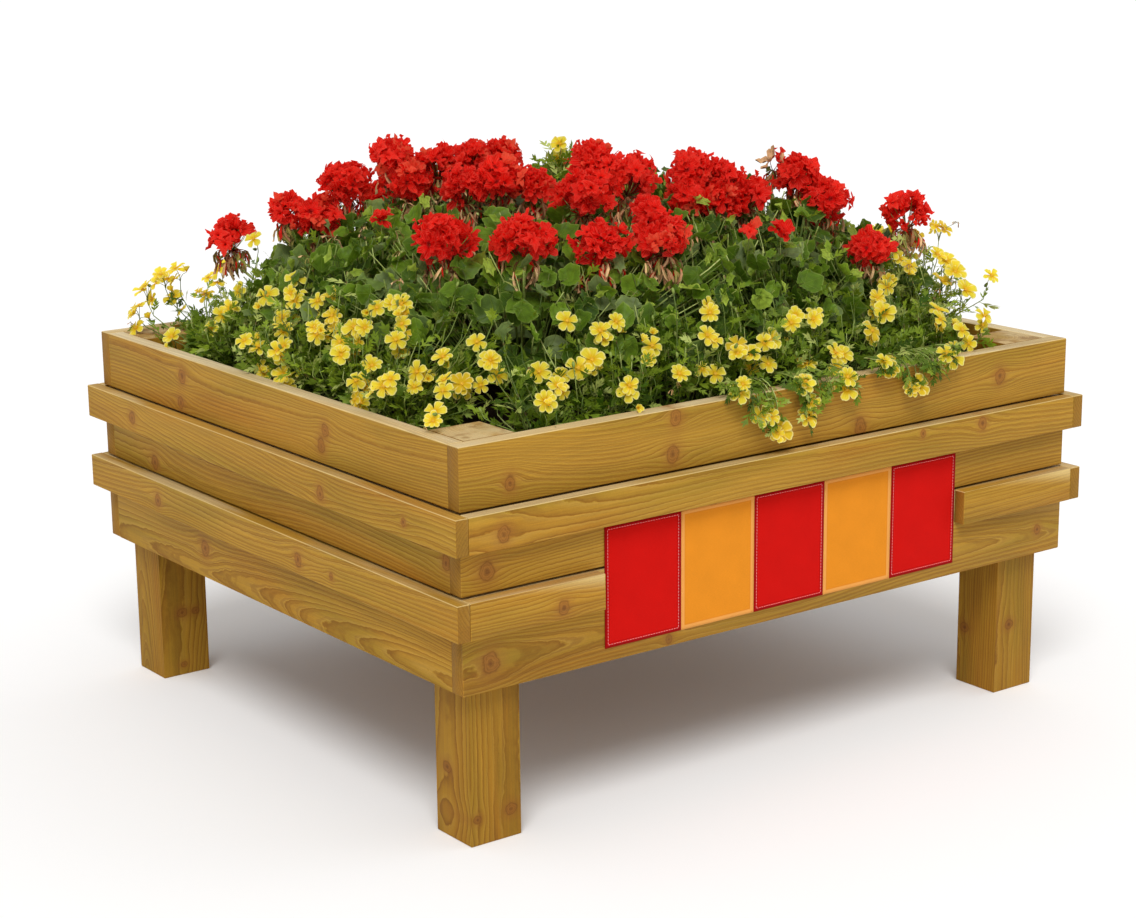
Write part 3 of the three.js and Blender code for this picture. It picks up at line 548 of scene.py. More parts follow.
def turned(shape, angle, tilt, scale):
    """A copy tilted up about Y and then turned about Z."""
    matrix = Matrix.Rotation(angle, 3, "Z") @ Matrix.Rotation(-tilt, 3, "Y")
    return Shape(shape.points @ (scale * np.array(matrix)).T, shape.triangles, shape.flat, shape.age)


def square_triangles(a, b, c, d):
    return [(a, b, c), (a, c, d)]


def grid_triangles(rows, columns, closed=False):
    """Triangles between rows of points. Closed joins each row's last point to its first."""
    made = []
    for i in range(rows - 1):
        for j in range(columns if closed else columns - 1):
            a = i * columns + j
            b = i * columns + (j + 1) % columns
            made += square_triangles(a, a + columns, b + columns, b)
    return made


def shifted(triangles, by, flipped=False):
    """Triangles between points that come later by a count. Flipped ones face the other way."""
    return [(a + by, c + by, b + by) if flipped else (a + by, b + by, c + by) for a, b, c in triangles]


def petal(widths, notch, cup, curl, columns, ruffle, phase=0.0):
    """A petal of length 1 along X. Widths are its half widths from base to tip."""
    rows = len(widths)
    points, flat, age = [], [], []
    for i, half in enumerate(widths):
        t = i / (rows - 1)
        for j in range(columns):
            s = 2 * j / (columns - 1) - 1
            middle = 1 - abs(s)
            x = 0.06 + 0.94 * t - (0.16 * s * s + notch * middle) * t**4
            wave = ruffle * math.sin(5 * s + 7 * t + phase) * t
            z = cup * half * s * s + curl * t * t + wave
            points.append((x, half * s, z))
            flat.append((t, s))
            age.append(t)
    return Shape(points, grid_triangles(rows, columns), flat, age)


def rosette(count, shape, tilt, draw, uneven):
    """Petals set round a middle."""
    made = []
    for k in range(count):
        angle = TURN * (k + uneven * (draw() - 0.5)) / count
        lifted = tilt + 2.5 * uneven * (draw() - 0.5)
        made.append(turned(shape, angle, lifted, 1 + uneven * (draw() - 0.5)))
    return joined(made)


def ball(radius, squash, rings, sides):
    """A closed round body, such as a bud or a flower's disc."""
    points, flat, age = [(0, 0, -radius * squash)], [(0, 0)], [0]
    for i in range(1, rings):
        polar = math.pi * i / rings
        for j in range(sides):
            angle = TURN * j / sides
            out = radius * math.sin(polar)
            points.append((out * math.cos(angle), out * math.sin(angle), -radius * squash * math.cos(polar)))
            flat.append((j / sides, i / rings))
            age.append(i / rings)
    points.append((0, 0, radius * squash))
    flat.append((0, 1))
    age.append(1)
    top = len(points) - 1
    last = top - sides
    triangles = [(0, 1 + (j + 1) % sides, 1 + j) for j in range(sides)]
    triangles += shifted(grid_triangles(rings - 1, sides, True), 1, True)
    triangles += [(last + j, last + (j + 1) % sides, top) for j in range(sides)]
    return Shape(points, triangles, flat, age)


LEAF_LOBES = 7
# How far a round leaf's stalk joins it from its middle, as a share of its radius
LEAF_JOINT = 0.42


def round_leaf(draw, angles, rings, young=False):
    """A scalloped round leaf of radius 1 about its middle. Its veins start where the stalk joins, at
    a cleft that points along -X. Flat coordinates are measured from there. A young leaf is narrow and
    has deep teeth."""
    points, flat, age = [(-LEAF_JOINT, 0, 0)], [(0, 0)], [0]
    phase = TURN * draw()
    wave = draw.between(0.1, 0.24)
    bowl = draw.between(-0.15, 0.5)
    droop = draw.between(0.0, 0.45)
    stretch = draw.between(0.35, 0.6) if young else draw.between(0.8, 1.0)
    half_cleft = draw.between(0.12, 0.3)
    tooth_depth = 0.1 if young else 0.028
    for ring in range(1, rings + 1):
        share = ring / rings
        for k in range(angles):
            theta = -math.pi + half_cleft + (TURN - 2 * half_cleft) * k / (angles - 1)
            out = LEAF_JOINT * math.cos(theta) + math.sqrt(1 - (LEAF_JOINT * math.sin(theta)) ** 2)
            lobe_depth = 0.11 * (1 - math.cos(LEAF_LOBES * theta)) / 2
            tooth = tooth_depth if k % 2 else -tooth_depth
            radius = share * out * (1 - lobe_depth + (tooth if ring == rings else 0))
            x = radius * math.cos(theta) - LEAF_JOINT
            y = radius * math.sin(theta) * stretch
            edge = math.hypot(x, y)
            fold = 0.07 * math.cos(LEAF_LOBES * theta) * share**1.5
            rise = bowl * share**2 - droop * edge**3 + wave * math.sin(3 * theta + phase) * share**2
            points.append((x, y, rise + fold))
            flat.append((radius * math.cos(theta), radius * math.sin(theta)))
            age.append(share)
    triangles = [(0, 1 + k, 2 + k) for k in range(angles - 1)]
    triangles += shifted(grid_triangles(rings, angles), 1)
    return Shape(points, triangles, flat, age)


def lobe(start, angle, length, width):
    """A narrow pointed lobe of a cut leaf, in the XY plane."""
    c, s = math.cos(angle), math.sin(angle)
    base = np.array([start, 0.0])
    along, side = np.array([c, s]), np.array([-s, c])
    flat = [
        base - side * width * 0.35,
        base + side * width * 0.35,
        base + along * length * 0.55 + side * width * 0.5,
        base + along * length * 0.55 - side * width * 0.5,
        base + along * length,
    ]
    points = [(x, y, -0.22 * x * x + 0.1 * abs(y)) for x, y in flat]
    return Shape(points, [(0, 3, 2), (0, 2, 1), (3, 4, 2)], flat, [0.3, 0.3, 0.6, 0.6, 1])


def cut_leaf(draw):
    """A finely cut leaf of length 1 along X, with pairs of narrow lobes."""
    parts = [lobe(0.0, 0.0, 0.8, 0.05), lobe(0.68, 0.0, 0.36, 0.12)]
    for at, length in ((0.26, 0.42), (0.5, 0.38), (0.68, 0.28)):
        for side in (-1, 1):
            angle = side * draw.between(0.35, 1.0)
            start = at + draw.between(-0.08, 0.08)
            parts.append(lobe(start, angle, length * draw.between(0.55, 1.35), draw.between(0.08, 0.14)))
    return joined(parts)


def beside(direction):
    """An axis that a direction is never nearly along."""
    return UP if abs(direction[2]) < 0.9 else np.array([1.0, 0.0, 0.0])


def axes_facing(facing, turn=0.0):
    """Axes whose Z is the facing, turned about it, in the way that the solids' blades are."""
    z = unit(facing)
    u = unit(np.cross(beside(z), z))
    v = np.cross(z, u)
    c, s = math.cos(turn), math.sin(turn)
    return np.column_stack([c * u + s * v, c * v - s * u, z])


def axes_along(direction, up):
    """Axes whose X is the direction and whose Z is as near as can be to up."""
    x = unit(direction)
    y = np.cross(up, x)
    if np.linalg.norm(y) < 1e-3:
        y = np.array([0.0, 1.0, 0.0])
    y = unit(y)
    return np.column_stack([x, y, np.cross(x, y)])


class Pile:
    """Copies of small shapes, gathered into one mesh. Variety is a number from 0 to 1 for each copy."""

    def __init__(self):
        self.points, self.triangles, self.flat, self.tint, self.kinds = [], [], [], [], []
        self.count = 0

    def add(self, shape, place=0.0, axes=np.eye(3), size=1.0, variety=0.5, kind=0, pallor_and_sheen=1.0):
        points = shape.points @ (np.asarray(axes) * size).T + place
        self.points.append(points)
        self.triangles.append(shape.triangles + self.count)
        self.flat.append(shape.flat)
        tint = np.ones((len(points), 4))
        tint[:, 0] = variety
        tint[:, 1] = shape.age
        tint[:, 2] = pallor_and_sheen
        self.tint.append(tint)
        self.kinds.append(np.full(len(shape.triangles), kind))
        self.count += len(points)

    def tube(self, path, radii, sides, variety, kind):
        """A stalk along a path, with a radius at each point."""
        path = np.asarray(path, float)
        along = np.gradient(path, axis=0)
        along /= np.linalg.norm(along, axis=1)[:, None]
        side = beside(along[0])
        points = []
        for place, ahead, radius in zip(path, along, np.broadcast_to(radii, len(path))):
            u = unit(side - ahead * (side @ ahead))
            v = np.cross(ahead, u)
            for k in range(sides):
                angle = TURN * k / sides
                points.append(place + radius * (math.cos(angle) * u + math.sin(angle) * v))
            side = u
        share = np.repeat(np.linspace(0, 1, len(path)), sides)
        round_it = np.tile(np.arange(sides) / sides, len(path))
        triangles = shifted(grid_triangles(len(path), sides, True), 0, True)
        end = (len(path) - 1) * sides
        triangles += [(0, k + 1, k) for k in range(1, sides - 1)]
        triangles += [(end, end + k, end + k + 1) for k in range(1, sides - 1)]
        shape = Shape(points, triangles, np.column_stack([round_it, share]), share)
        self.add(shape, variety=variety, kind=kind)

    def piece(self, name, materials, slot, replaced=()):
        """The gathered mesh as one piece of the planter."""
        points = np.concatenate(self.points)
        triangles = np.concatenate(self.triangles)
        corners = triangles.ravel()
        mesh = bpy.data.meshes.new(name)
        mesh.vertices.add(len(points))
        mesh.vertices.foreach_set("co", points.ravel())
        mesh.loops.add(len(corners))
        mesh.loops.foreach_set("vertex_index", corners)
        mesh.polygons.add(len(triangles))
        mesh.polygons.foreach_set("loop_start", np.arange(0, len(corners), 3))
        mesh.polygons.foreach_set("material_index", np.concatenate(self.kinds))
        mesh.polygons.foreach_set("use_smooth", np.ones(len(triangles), bool))
        marks = mesh.uv_layers.new(name="markings")
        marks.data.foreach_set("uv", np.concatenate(self.flat)[corners].ravel())
        tint = mesh.attributes.new("tint", "FLOAT_COLOR", "POINT")
        tint.data.foreach_set("color", np.concatenate(self.tint).ravel())
        mesh.update(calc_edges=True)
        mesh.validate()
        for material in materials:
            mesh.materials.append(material)
        made = bpy.data.objects.new(name, mesh)
        bpy.context.scene.collection.objects.link(made)
        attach(made, "root")
        if replaced:
            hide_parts(*replaced)
        return made


def curve(points, steps):
    """A smooth Bezier curve through the first and last of its control points."""
    points = np.asarray(points, float)
    degree = len(points) - 1
    t = np.linspace(0, 1, steps)[:, None]
    weights = [math.comb(degree, k) * t**k * (1 - t) ** (degree - k) for k in range(degree + 1)]
    return sum(weight * point for weight, point in zip(weights, points))


# Plant materials


class Marked(Graph):
    """The graph of a material that reads a pile's marks: the variety, age, and pallor and painted sheen
    of a copy, and the flat coordinates x and y."""

    def __init__(self, name):
        super().__init__(name)
        tint = self.wire("ShaderNodeAttribute", out="Color", attribute_name="tint")
        self.variety, self.age, self.pallor_and_sheen = self.split(tint, "ShaderNodeSeparateColor")
        flat = self.wire("ShaderNodeUVMap", uv_map="markings")
        self.x, self.y, _ = self.split(flat)


def geranium_leaf_material():
    graph = Marked("geranium_leaf")
    blotch = graph.mottle(45.0, 3.0)
    colour = graph.variety.mix(paint(52, 82, 12), paint(126, 160, 36))
    colour = graph.variety.smooth(0.8, 0.98).mix(colour, paint(176, 198, 72))
    # Grey-green copies: partly pale leaf undersides, partly a painted sheen.
    colour = graph.pallor_and_sheen.smooth(0.8, 0.95).mix(colour, paint(124, 142, 84))
    out = graph.combine(graph.x, graph.y).length()
    spoke = graph.y.angle_over(graph.x) * (LEAF_LOBES / TURN) + 0.5
    off_vein = abs(spoke.fraction() - 0.5) * out
    twig = ((out + off_vein) * 34.0).sine().smooth(0.75, 1.0) * 0.4
    net = off_vein.smooth(0.055, 0.0).more(twig)
    zone = graph.age.smooth(0.42, 0.56) * graph.age.smooth(0.8, 0.62)
    colour = (zone * 0.25).mix(colour, paint(38, 54, 10))
    colour = (net * 0.24).mix(colour, paint(160, 182, 70))
    # Pale margins: partly the leaf's own lighter edge, partly a painted rim highlight.
    colour = (graph.age.smooth(0.9, 1.0) * 0.32).mix(colour, paint(186, 204, 104))
    colour = graph.scaled(colour, blotch * 0.9 + 0.55)
    bump = graph.bump(blotch * 0.6 - net, 0.0018, 0.7)
    return graph.surface(colour, 0.42, bump, 0.3, Specular_IOR_Level=0.2)


def stalk_material():
    graph = Marked("green_stalk")
    colour = graph.variety.mix(paint(82, 110, 36), paint(152, 168, 78))
    colour = graph.variety.smooth(0.65, 0.95).mix(colour, paint(180, 194, 112))
    streak = graph.mottle(120.0)
    colour = streak.smooth(0.55, 0.75).mix(colour, paint(122, 84, 50))
    return graph.surface(colour, 0.55, graph.bump(streak, 0.0003, 0.5), Specular_IOR_Level=0.4)


def red_stalk_material():
    graph = Marked("red_stalk")
    colour = graph.variety.mix(paint(96, 26, 18), paint(176, 92, 56))
    bump = graph.bump(graph.mottle(140.0), 0.0003, 0.5)
    return graph.surface(colour, 0.6, bump, Specular_IOR_Level=0.3)


def dry_material():
    graph = Marked("dry_flower")
    colour = graph.variety.mix(paint(152, 74, 44), paint(228, 190, 136))
    colour = graph.variety.smooth(0.35, 0.15).mix(colour, paint(160, 148, 72))
    streak = graph.mottle(160.0)
    colour = graph.scaled(colour, streak * 0.8 + 0.6)
    return graph.surface(colour, 0.8, graph.bump(streak, 0.0004, 0.6))


def geranium_petal_material():
    graph = Marked("geranium_petal")
    colour = graph.variety.mix(paint(240, 10, 6), paint(255, 44, 28))
    colour = graph.variety.smooth(0.9, 1.0).mix(colour, paint(252, 96, 64))
    colour = graph.age.smooth(0.28, 0.0).mix(colour, paint(150, 5, 8))
    # Petal edges and tips painted lighter, a painted highlight as of light through the thin edges.
    edge = abs(graph.y).smooth(0.75, 1.0).more(graph.age.smooth(0.85, 1.0))
    colour = (edge * 0.32).mix(colour, paint(255, 112, 92))
    # Fine radial streaks, partly veins, partly painted highlights.
    lines = (graph.y * 14.0).sine().smooth(0.2, 1.0) * graph.age.smooth(0.2, 0.6)
    colour = (lines * 0.5).mix(colour, paint(255, 112, 88))
    bump = graph.bump(graph.mottle(260.0) + lines * -0.5, 0.0005, 0.5)
    return graph.surface(colour, 0.6, bump, 0.5, Specular_IOR_Level=0.12)


def bidens_leaf_material():
    graph = Marked("bidens_leaf")
    colour = graph.variety.mix(paint(60, 92, 12), paint(148, 172, 46))
    # Whitish copies: partly pale young growth, partly painted highlights.
    colour = graph.pallor_and_sheen.smooth(0.84, 0.97).mix(colour, paint(196, 208, 112))
    shade = graph.mottle(60.0)
    colour = graph.scaled(colour, shade * 0.8 + 0.5)
    return graph.surface(colour, 0.5, graph.bump(shade, 0.0004, 0.4), 0.32, Specular_IOR_Level=0.2)


def bidens_petal_material():
    graph = Marked("bidens_petal")
    # Petals deeper yellow towards the base, partly painted shade in the cup of the flower.
    colour = graph.age.smooth(0.05, 0.6).mix(paint(242, 198, 28), paint(253, 234, 68))
    colour = graph.variety.smooth(0.16, 0.0).mix(colour, paint(238, 204, 44))
    # A pale rim and tip, a painted highlight.
    rim = abs(graph.y).smooth(0.62, 1.0).more(graph.x.smooth(0.78, 1.0)) * graph.x.smooth(0.2, 0.5)
    colour = (rim * 0.75).mix(colour, paint(255, 249, 178))
    ribs = (graph.y * 12.0).sine().smooth(0.2, 1.0) * graph.x.smooth(1.0, 0.3)
    colour = (ribs * 0.4).mix(colour, paint(234, 188, 14))
    return graph.surface(colour, 0.6, graph.bump(ribs, 0.0004, -0.6), 0.42, Specular_IOR_Level=0.15)


def disc_material():
    graph = Marked("bidens_disc")
    return graph.surface(graph.age.mix(paint(206, 146, 26), paint(246, 204, 58)), 0.8)


# The planted mound, by the same rules as the solids

# A bed in plan, in millimetres: its half sizes and how square its corners are
Plan = namedtuple("Plan", "half_x half_y rounding")
MOUND = Plan(600, 535, 2.5)
MOUND_FALL = 3.5
MOUND_EDGE_Z, MOUND_RISE = 645, 205
CORNER_RISE, CORNER_RISE_AT, CORNER_RISE_REACH = 85, (495, -365), 95
LEAN_OUT = 1.5
SLOPE_STEP = 4
LUMP_HEIGHT, LUMP_WIDTH, LUMP_SEED = 15, 75, 4.2


def mound_height(x, y):
    """Height of the mound's foliage at a place in plan, in millimetres."""
    across = abs(x / MOUND.half_x) ** MOUND.rounding + abs(y / MOUND.half_y) ** MOUND.rounding
    out = min(1.0, across ** (1 / MOUND.rounding))
    from_corner = math.hypot(x - CORNER_RISE_AT[0], y - CORNER_RISE_AT[1]) / CORNER_RISE_REACH
    corner = CORNER_RISE * math.exp(-from_corner * from_corner)
    return MOUND_EDGE_Z + MOUND_RISE * (1 - out**MOUND_FALL) + corner


def foliage_height(x, y):
    """The mound's height with the foliage's lumps, in millimetres."""
    lump = LUMP_HEIGHT * 2 * noise.noise(Vector((x / LUMP_WIDTH, y / LUMP_WIDTH, LUMP_SEED)))
    return mound_height(x, y) + lump


def mound_normal(x, y):
    step = SLOPE_STEP
    slope_x = (mound_height(x + step, y) - mound_height(x - step, y)) / (2 * step)
    slope_y = (mound_height(x, y + step) - mound_height(x, y - step)) / (2 * step)
    return unit(np.array([-LEAN_OUT * slope_x, -LEAN_OUT * slope_y, 1.0]))


def outwards(x, y):
    """The level direction away from the bed's middle, square to the nearest side."""
    return unit(np.array([(x / MOUND.half_x) ** 3, (y / MOUND.half_y) ** 3, 0.0]) + 1e-6)


def place_in_plan(angle, share, plan):
    """The place at an angle about a bed's middle, and at a share of the way out to its edge."""
    c, s = math.cos(angle), math.sin(angle)
    reach = share / (abs(c) ** plan.rounding + abs(s) ** plan.rounding) ** (1 / plan.rounding)
    return plan.half_x * c * reach, plan.half_y * s * reach


def spread_places(count, most_share, start):
    """Places spread evenly over the mound, from its middle out to a share of the way to its edge."""
    for k in range(count):
        share = most_share * math.sqrt((k + 0.5) / count)
        yield place_in_plan(k * GOLDEN_ANGLE + start, share, MOUND)


# Geraniums

# Flower heads by bunch, as in the solids: the head's middle and its radius in millimetres.
BUNCHES = {
    "left_far": [(-440, 402, 781, 40)],
    "left_crest": [(-418, 248, 841, 27), (-380, 208, 825, 45), (-331, 196, 883, 44)],
    "middle_crest": [
        (-276, 146, 930, 34), (-256, 116, 890, 48), (-210, 98, 914, 38), (-162, 70, 922, 34),
        (-120, 48, 926, 32),
    ],
    "middle": [(-260, -56, 892, 38), (-211, -80, 910, 42), (-171, -122, 896, 33)],
    "front_left": [(-383, -175, 836, 46)],
    "front_middle": [(-302, -268, 839, 47)],
    "front_crest": [(-112, -197, 938, 36), (-151, -230, 891, 52), (-79, -247, 914, 46)],
    "front_sparse": [(-201, -336, 832, 44)],
    "front_low": [(-106, -339, 876, 20), (-98, -363, 834, 46)],
    "right_crest": [
        (95, -196, 903, 42), (143, -222, 890, 34), (76, -216, 864, 40), (124, -236, 860, 38),
        (170, -252, 864, 36),
    ],
    "right_high": [(304, -226, 885, 37), (274, -198, 906, 20), (326, -267, 843, 46)],
    "right_low": [(331, -376, 777, 33)],
    "right_corner": [(455, -338, 818, 43)],
    "back_left": [(-172, 334, 826, 42), (-112, 346, 820, 42), (-52, 334, 826, 42)],
    "back_right": [(236, 300, 806, 42), (298, 282, 796, 42), (356, 256, 784, 40)],
    "centre": [(140, 112, 862, 42), (80, 126, 866, 42), (198, 90, 852, 40)],
}
WILTED_HEADS = {(274, -198, 906, 20)}
SPARSE_HEADS = {(-201, -336, 832, 44), (-440, 402, 781, 40), (455, -338, 818, 43)}
LONE_FLORETS = [(-382, 11, 851, 20), (128, -382, 823, 21), (73, -371, 831, 17), (440, 60, 800, 22)]

FULL_HEAD_RADIUS = 44
FULL_HEAD_FLORETS = 40
INNER_SHARE = 0.4
# Heads higher than this are painted lighter and pinker, a painted highlight on the heads that stand highest
# in the light.
CREST_Z = 895
FLORET_RADIUS = 0.0185
HEAD_FLATTENING = 0.86
HEAD_LOWEST = -0.28
# Below this height on the head, from -1 to 1, florets have faded, and this share of them is missing.
FADED_BELOW, FADED_SHARE = 0.2, 0.35
HEAD_DEPTH = 0.8
UMBEL_DEPTH = 0.55
# A head's least number of spent flowers and of buds, and the number that as many more stay under
SPENT_LEAST, MORE_SPENT = 15, 12
BUDS_LEAST, MORE_BUDS = 3, 4
# How full a sparse head is and its spent flowers, then the florets and spent flowers of a wilted one
SPARSE_SHARE, SPARSE_SPENT = 0.6, 24
WILTED_FLORETS, WILTED_SPENT = 3, 10

# Thin stalks: their points along and round, how much of the radius is left at the end, and their radii
STALK_STEPS, STALK_SIDES, STALK_TAPER = 4, 3, 0.75
FLORET_STALK_RADIUS = 0.0009
BUD_STALK_RADIUS = 0.0008
LEAF_STALK_RADIUS = 0.0013
LONE_STALK_RADIUS = 0.0012
# The radii of thicker stalks, at the foot and at the top
HEAD_STALK_RADII = (0.0032, 0.0023)
OLD_STALK_RADII = (0.0019, 0.0012)
WOODY_RADII = (0.006, 0.004)

leaf_material = geranium_leaf_material()
stalk_green = stalk_material()
stalk_red = red_stalk_material()
dry_brown = dry_material()
petal_red = geranium_petal_material()

# Materials of the umbels, by kind
GREEN_STALK, DRY, RED_STALK = 0, 1, 2
# Materials of the leafy plants, by kind
LEAF, STEM, PETAL, WITHERED = 0, 1, 2, 3

shape_draw = Draws(5)
GERANIUM_PETAL_WIDTHS = (0.07, 0.21, 0.3, 0.19)
# The florets' forms: how far each petal curls, how far it is lifted, and where its ruffle starts.
FLORET_FORMS = [
    (-0.15, 0.5, 0), (0.12, 0.35, 2), (-0.35, 0.95, 4), (0.05, 0.7, 5), (0.25, 0.25, 1), (-0.1, 1.15, 3),
]
FLORETS = [
    rosette(7, petal(GERANIUM_PETAL_WIDTHS, 0.0, 0.5, curl, 3, 0.2, phase), tilt, shape_draw, 0.5)
    for curl, tilt, phase in FLORET_FORMS
]
BUD = ball(0.0027, 1.9, 4, 5)
SHRIVELLED = petal((0.03, 0.07, 0.08, 0.03), 0.0, 1.6, -0.4, 3, 0.12)


def add_stalk(pile, root, end, direction, radius, draw, kind):
    """A stalk that leaves its root along a direction and bends to its end."""
    lean = root + unit(direction) * np.linalg.norm(end - root) * 0.5
    path = curve([root, lean, end], STALK_STEPS)
    radii = np.linspace(radius, radius * STALK_TAPER, STALK_STEPS)
    pile.tube(path, radii, STALK_SIDES, draw(), kind)


def add_head(petals, stalks, row, draw):
    """An umbel: florets on thin stalks from one point, with buds and spent flowers below them."""
    x, y, z, radius_mm = row
    centre = metres(x, y, z)
    radius = radius_mm * MM
    umbel = centre - UP * radius * UMBEL_DEPTH
    count = max(4, round(FULL_HEAD_FLORETS * (radius_mm / FULL_HEAD_RADIUS) ** 1.6))
    wilted = row in WILTED_HEADS
    spent = SPENT_LEAST + int(MORE_SPENT * draw())
    if row in SPARSE_HEADS:
        count, spent = round(count * SPARSE_SHARE), SPARSE_SPENT
    if wilted:
        count, spent = WILTED_FLORETS, WILTED_SPENT
    spin = TURN * draw()
    # A head's tone differs at random, and the heads above CREST_Z are painted lighter, a painted highlight.
    shade = draw.between(-0.35, 0.25) + (0.3 if z > CREST_Z else 0.0)
    tilt = draw.vector(0.18)
    for k in range(count):
        up = 1 - (1 - HEAD_LOWEST) * (k + 0.5) / count
        if up < FADED_BELOW and draw() < FADED_SHARE:
            continue
        out = math.sqrt(max(0.0, 1 - up * up))
        way = unit(out * level(spin + k * GOLDEN_ANGLE) + up * UP + draw.vector(0.2) + tilt)
        reach = radius * HEAD_DEPTH * draw.between(0.62, 1.2)
        place = centre + way * reach * np.array([1, 1, HEAD_FLATTENING])
        facing = way + draw.vector(0.75) + 0.1 * UP
        size = FLORET_RADIUS * draw.between(0.82, 1.12)
        shape = draw.pick(FLORETS)
        variety = min(1.0, max(0.0, draw() + shade))
        petals.add(shape, place, axes_facing(facing, TURN * draw()), size, variety, 1 if wilted else 0)
        kind = RED_STALK if draw() < 0.7 else GREEN_STALK
        neck = place - unit(facing) * 0.001
        add_stalk(stalks, umbel, neck, way + 0.3 * UP, FLORET_STALK_RADIUS, draw, kind)
    for _ in range(round(INNER_SHARE * count)):
        way = unit(draw.vector(1.0) + 0.5 * UP)
        axes = axes_facing(way + draw.vector(0.6), TURN * draw())
        shape = draw.pick(FLORETS)
        petals.add(shape, centre + way * radius * 0.42, axes, FLORET_RADIUS * 1.3, 0.6 * draw())
    for k in range(spent):
        side = level(spin + k * GOLDEN_ANGLE + 1)
        end = umbel + side * radius * draw.between(0.1, 0.7) - UP * radius * draw.between(-0.1, 0.5)
        add_stalk(stalks, umbel, end, side + 0.3 * UP, FLORET_STALK_RADIUS, draw, RED_STALK)
        down = side * draw.between(-0.1, 0.7) - UP
        for _ in range(3):
            axes = axes_along(down + draw.vector(0.5), side)
            if draw() < 0.25:
                petals.add(SHRIVELLED, end, axes, draw.between(0.016, 0.024), draw())
            else:
                stalks.add(SHRIVELLED, end, axes, draw.between(0.02, 0.034), draw(), DRY)
    for _ in range(BUDS_LEAST + int(MORE_BUDS * draw())):
        side = level(TURN * draw())
        end = umbel + side * radius * draw.between(0.3, 0.6) + UP * radius * draw.between(-0.4, 0.25)
        add_stalk(stalks, umbel, end, side + 0.6 * UP, BUD_STALK_RADIUS, draw, GREEN_STALK)
        stalks.add(BUD, end, axes_facing(side - 0.6 * UP), 1.0, draw(), GREEN_STALK)


# Where each plant's stems part, in millimetres
CORE_X = {"left": -262, "right": 262}
CORE_Y = {"front": -212, "back": 212}
CORE_Z = 600
CORES = {(end, side): metres(CORE_X[side], CORE_Y[end], CORE_Z) for side in CORE_X for end in CORE_Y}
# Where a leaf's stalk and a flower's stalk leave the plant, as shares of the way out and up to their ends
LEAF_ROOT = np.array([0.45, 0.45, 0.2])
FLOWER_ROOT = np.array([0.35, 0.35, 0.15])


def nearest_plant(x, y):
    return ("front" if y < 0 else "back", "left" if x < 0 else "right")


def root_in_plant(key, end, shares):
    return CORES[key] + (end - CORES[key]) * shares


def add_flower_stalk(plants, row, draw):
    x, y, z, radius_mm = row
    key = nearest_plant(x, y)
    top = metres(x, y, z - radius_mm * UMBEL_DEPTH)
    root = root_in_plant(key, top, FLOWER_ROOT)
    below = top - UP * 0.07 + draw.vector(0.012)
    path = curve([root, root + UP * 0.05, below, top], 7)
    plants[key].tube(path, np.linspace(*HEAD_STALK_RADII, 7), 6, draw(), STEM)


LEAF_SHAPES = [round_leaf(Draws(200 + k), 31, 3) for k in range(9)]
PLAIN_LEAF_SHAPES = [round_leaf(Draws(300 + k), 19, 2) for k in range(5)]
YOUNG_LEAF_SHAPES = [round_leaf(Draws(500 + k), 15, 2, True) for k in range(6)]

# Layers of leaves, from the light down into the plant. Drop is the depth below the mound, lean is how
# unevenly the leaves face, and shade is how light they are painted: the deeper layers are painted darker,
# a painted shade, and the young leaves are a lighter green.
Layer = namedtuple("Layer", "shapes count seed reach drop radius lean shade")
LEAF_LAYERS = [
    Layer(LEAF_SHAPES, 780, 31, 0.88, drop=(-20, 24), radius=(15, 27), lean=2.5, shade=1.0),
    Layer(PLAIN_LEAF_SHAPES, 400, 32, 0.92, drop=(16, 60), radius=(20, 30), lean=2.0, shade=0.6),
    Layer(PLAIN_LEAF_SHAPES, 260, 33, 0.94, drop=(55, 130), radius=(28, 38), lean=1.5, shade=0.15),
    Layer(YOUNG_LEAF_SHAPES, 560, 34, 0.88, drop=(-30, 6), radius=(9, 17), lean=3.0, shade=1.25),
]
LEAF_SCATTER = 14


def add_leaf(plants, x, y, layer, draw):
    """A leaf near a place in plan in millimetres, with its stalk down into the plant."""
    x += draw.between(-LEAF_SCATTER, LEAF_SCATTER)
    y += draw.between(-LEAF_SCATTER, LEAF_SCATTER)
    place = metres(x, y, foliage_height(x, y) - draw.between(*layer.drop))
    lean = layer.lean * np.array([draw() - 0.5, draw() - 0.5, 0.0])
    size = draw.between(*layer.radius) * MM
    # A layer's shade scales its leaves' lightness; the deeper layers are painted darker, a painted shade.
    variety = min(1.0, layer.shade * draw())
    axes = axes_facing(unit(mound_normal(x, y) + lean), TURN * draw())
    key = nearest_plant(x, y)
    plants[key].add(draw.pick(layer.shapes), place, axes, size, variety, LEAF, draw())
    joint = place - axes[:, 0] * size * LEAF_JOINT
    root = root_in_plant(key, joint, LEAF_ROOT)
    add_stalk(plants[key], root, joint, joint - root + 0.04 * UP, LEAF_STALK_RADIUS, draw, STEM)


# Old flower stalks that still stand among the leaves: how many, how far from the bed's middle, how far
# their ends stand out of the leaves in millimetres, and the share of them with a withered head
OLD_STALKS = 260
OLD_STALK_SHARE = 0.8
OLD_STALK_STANDS_OUT = (2, 32)
WITHERED_SHARE = 0.3


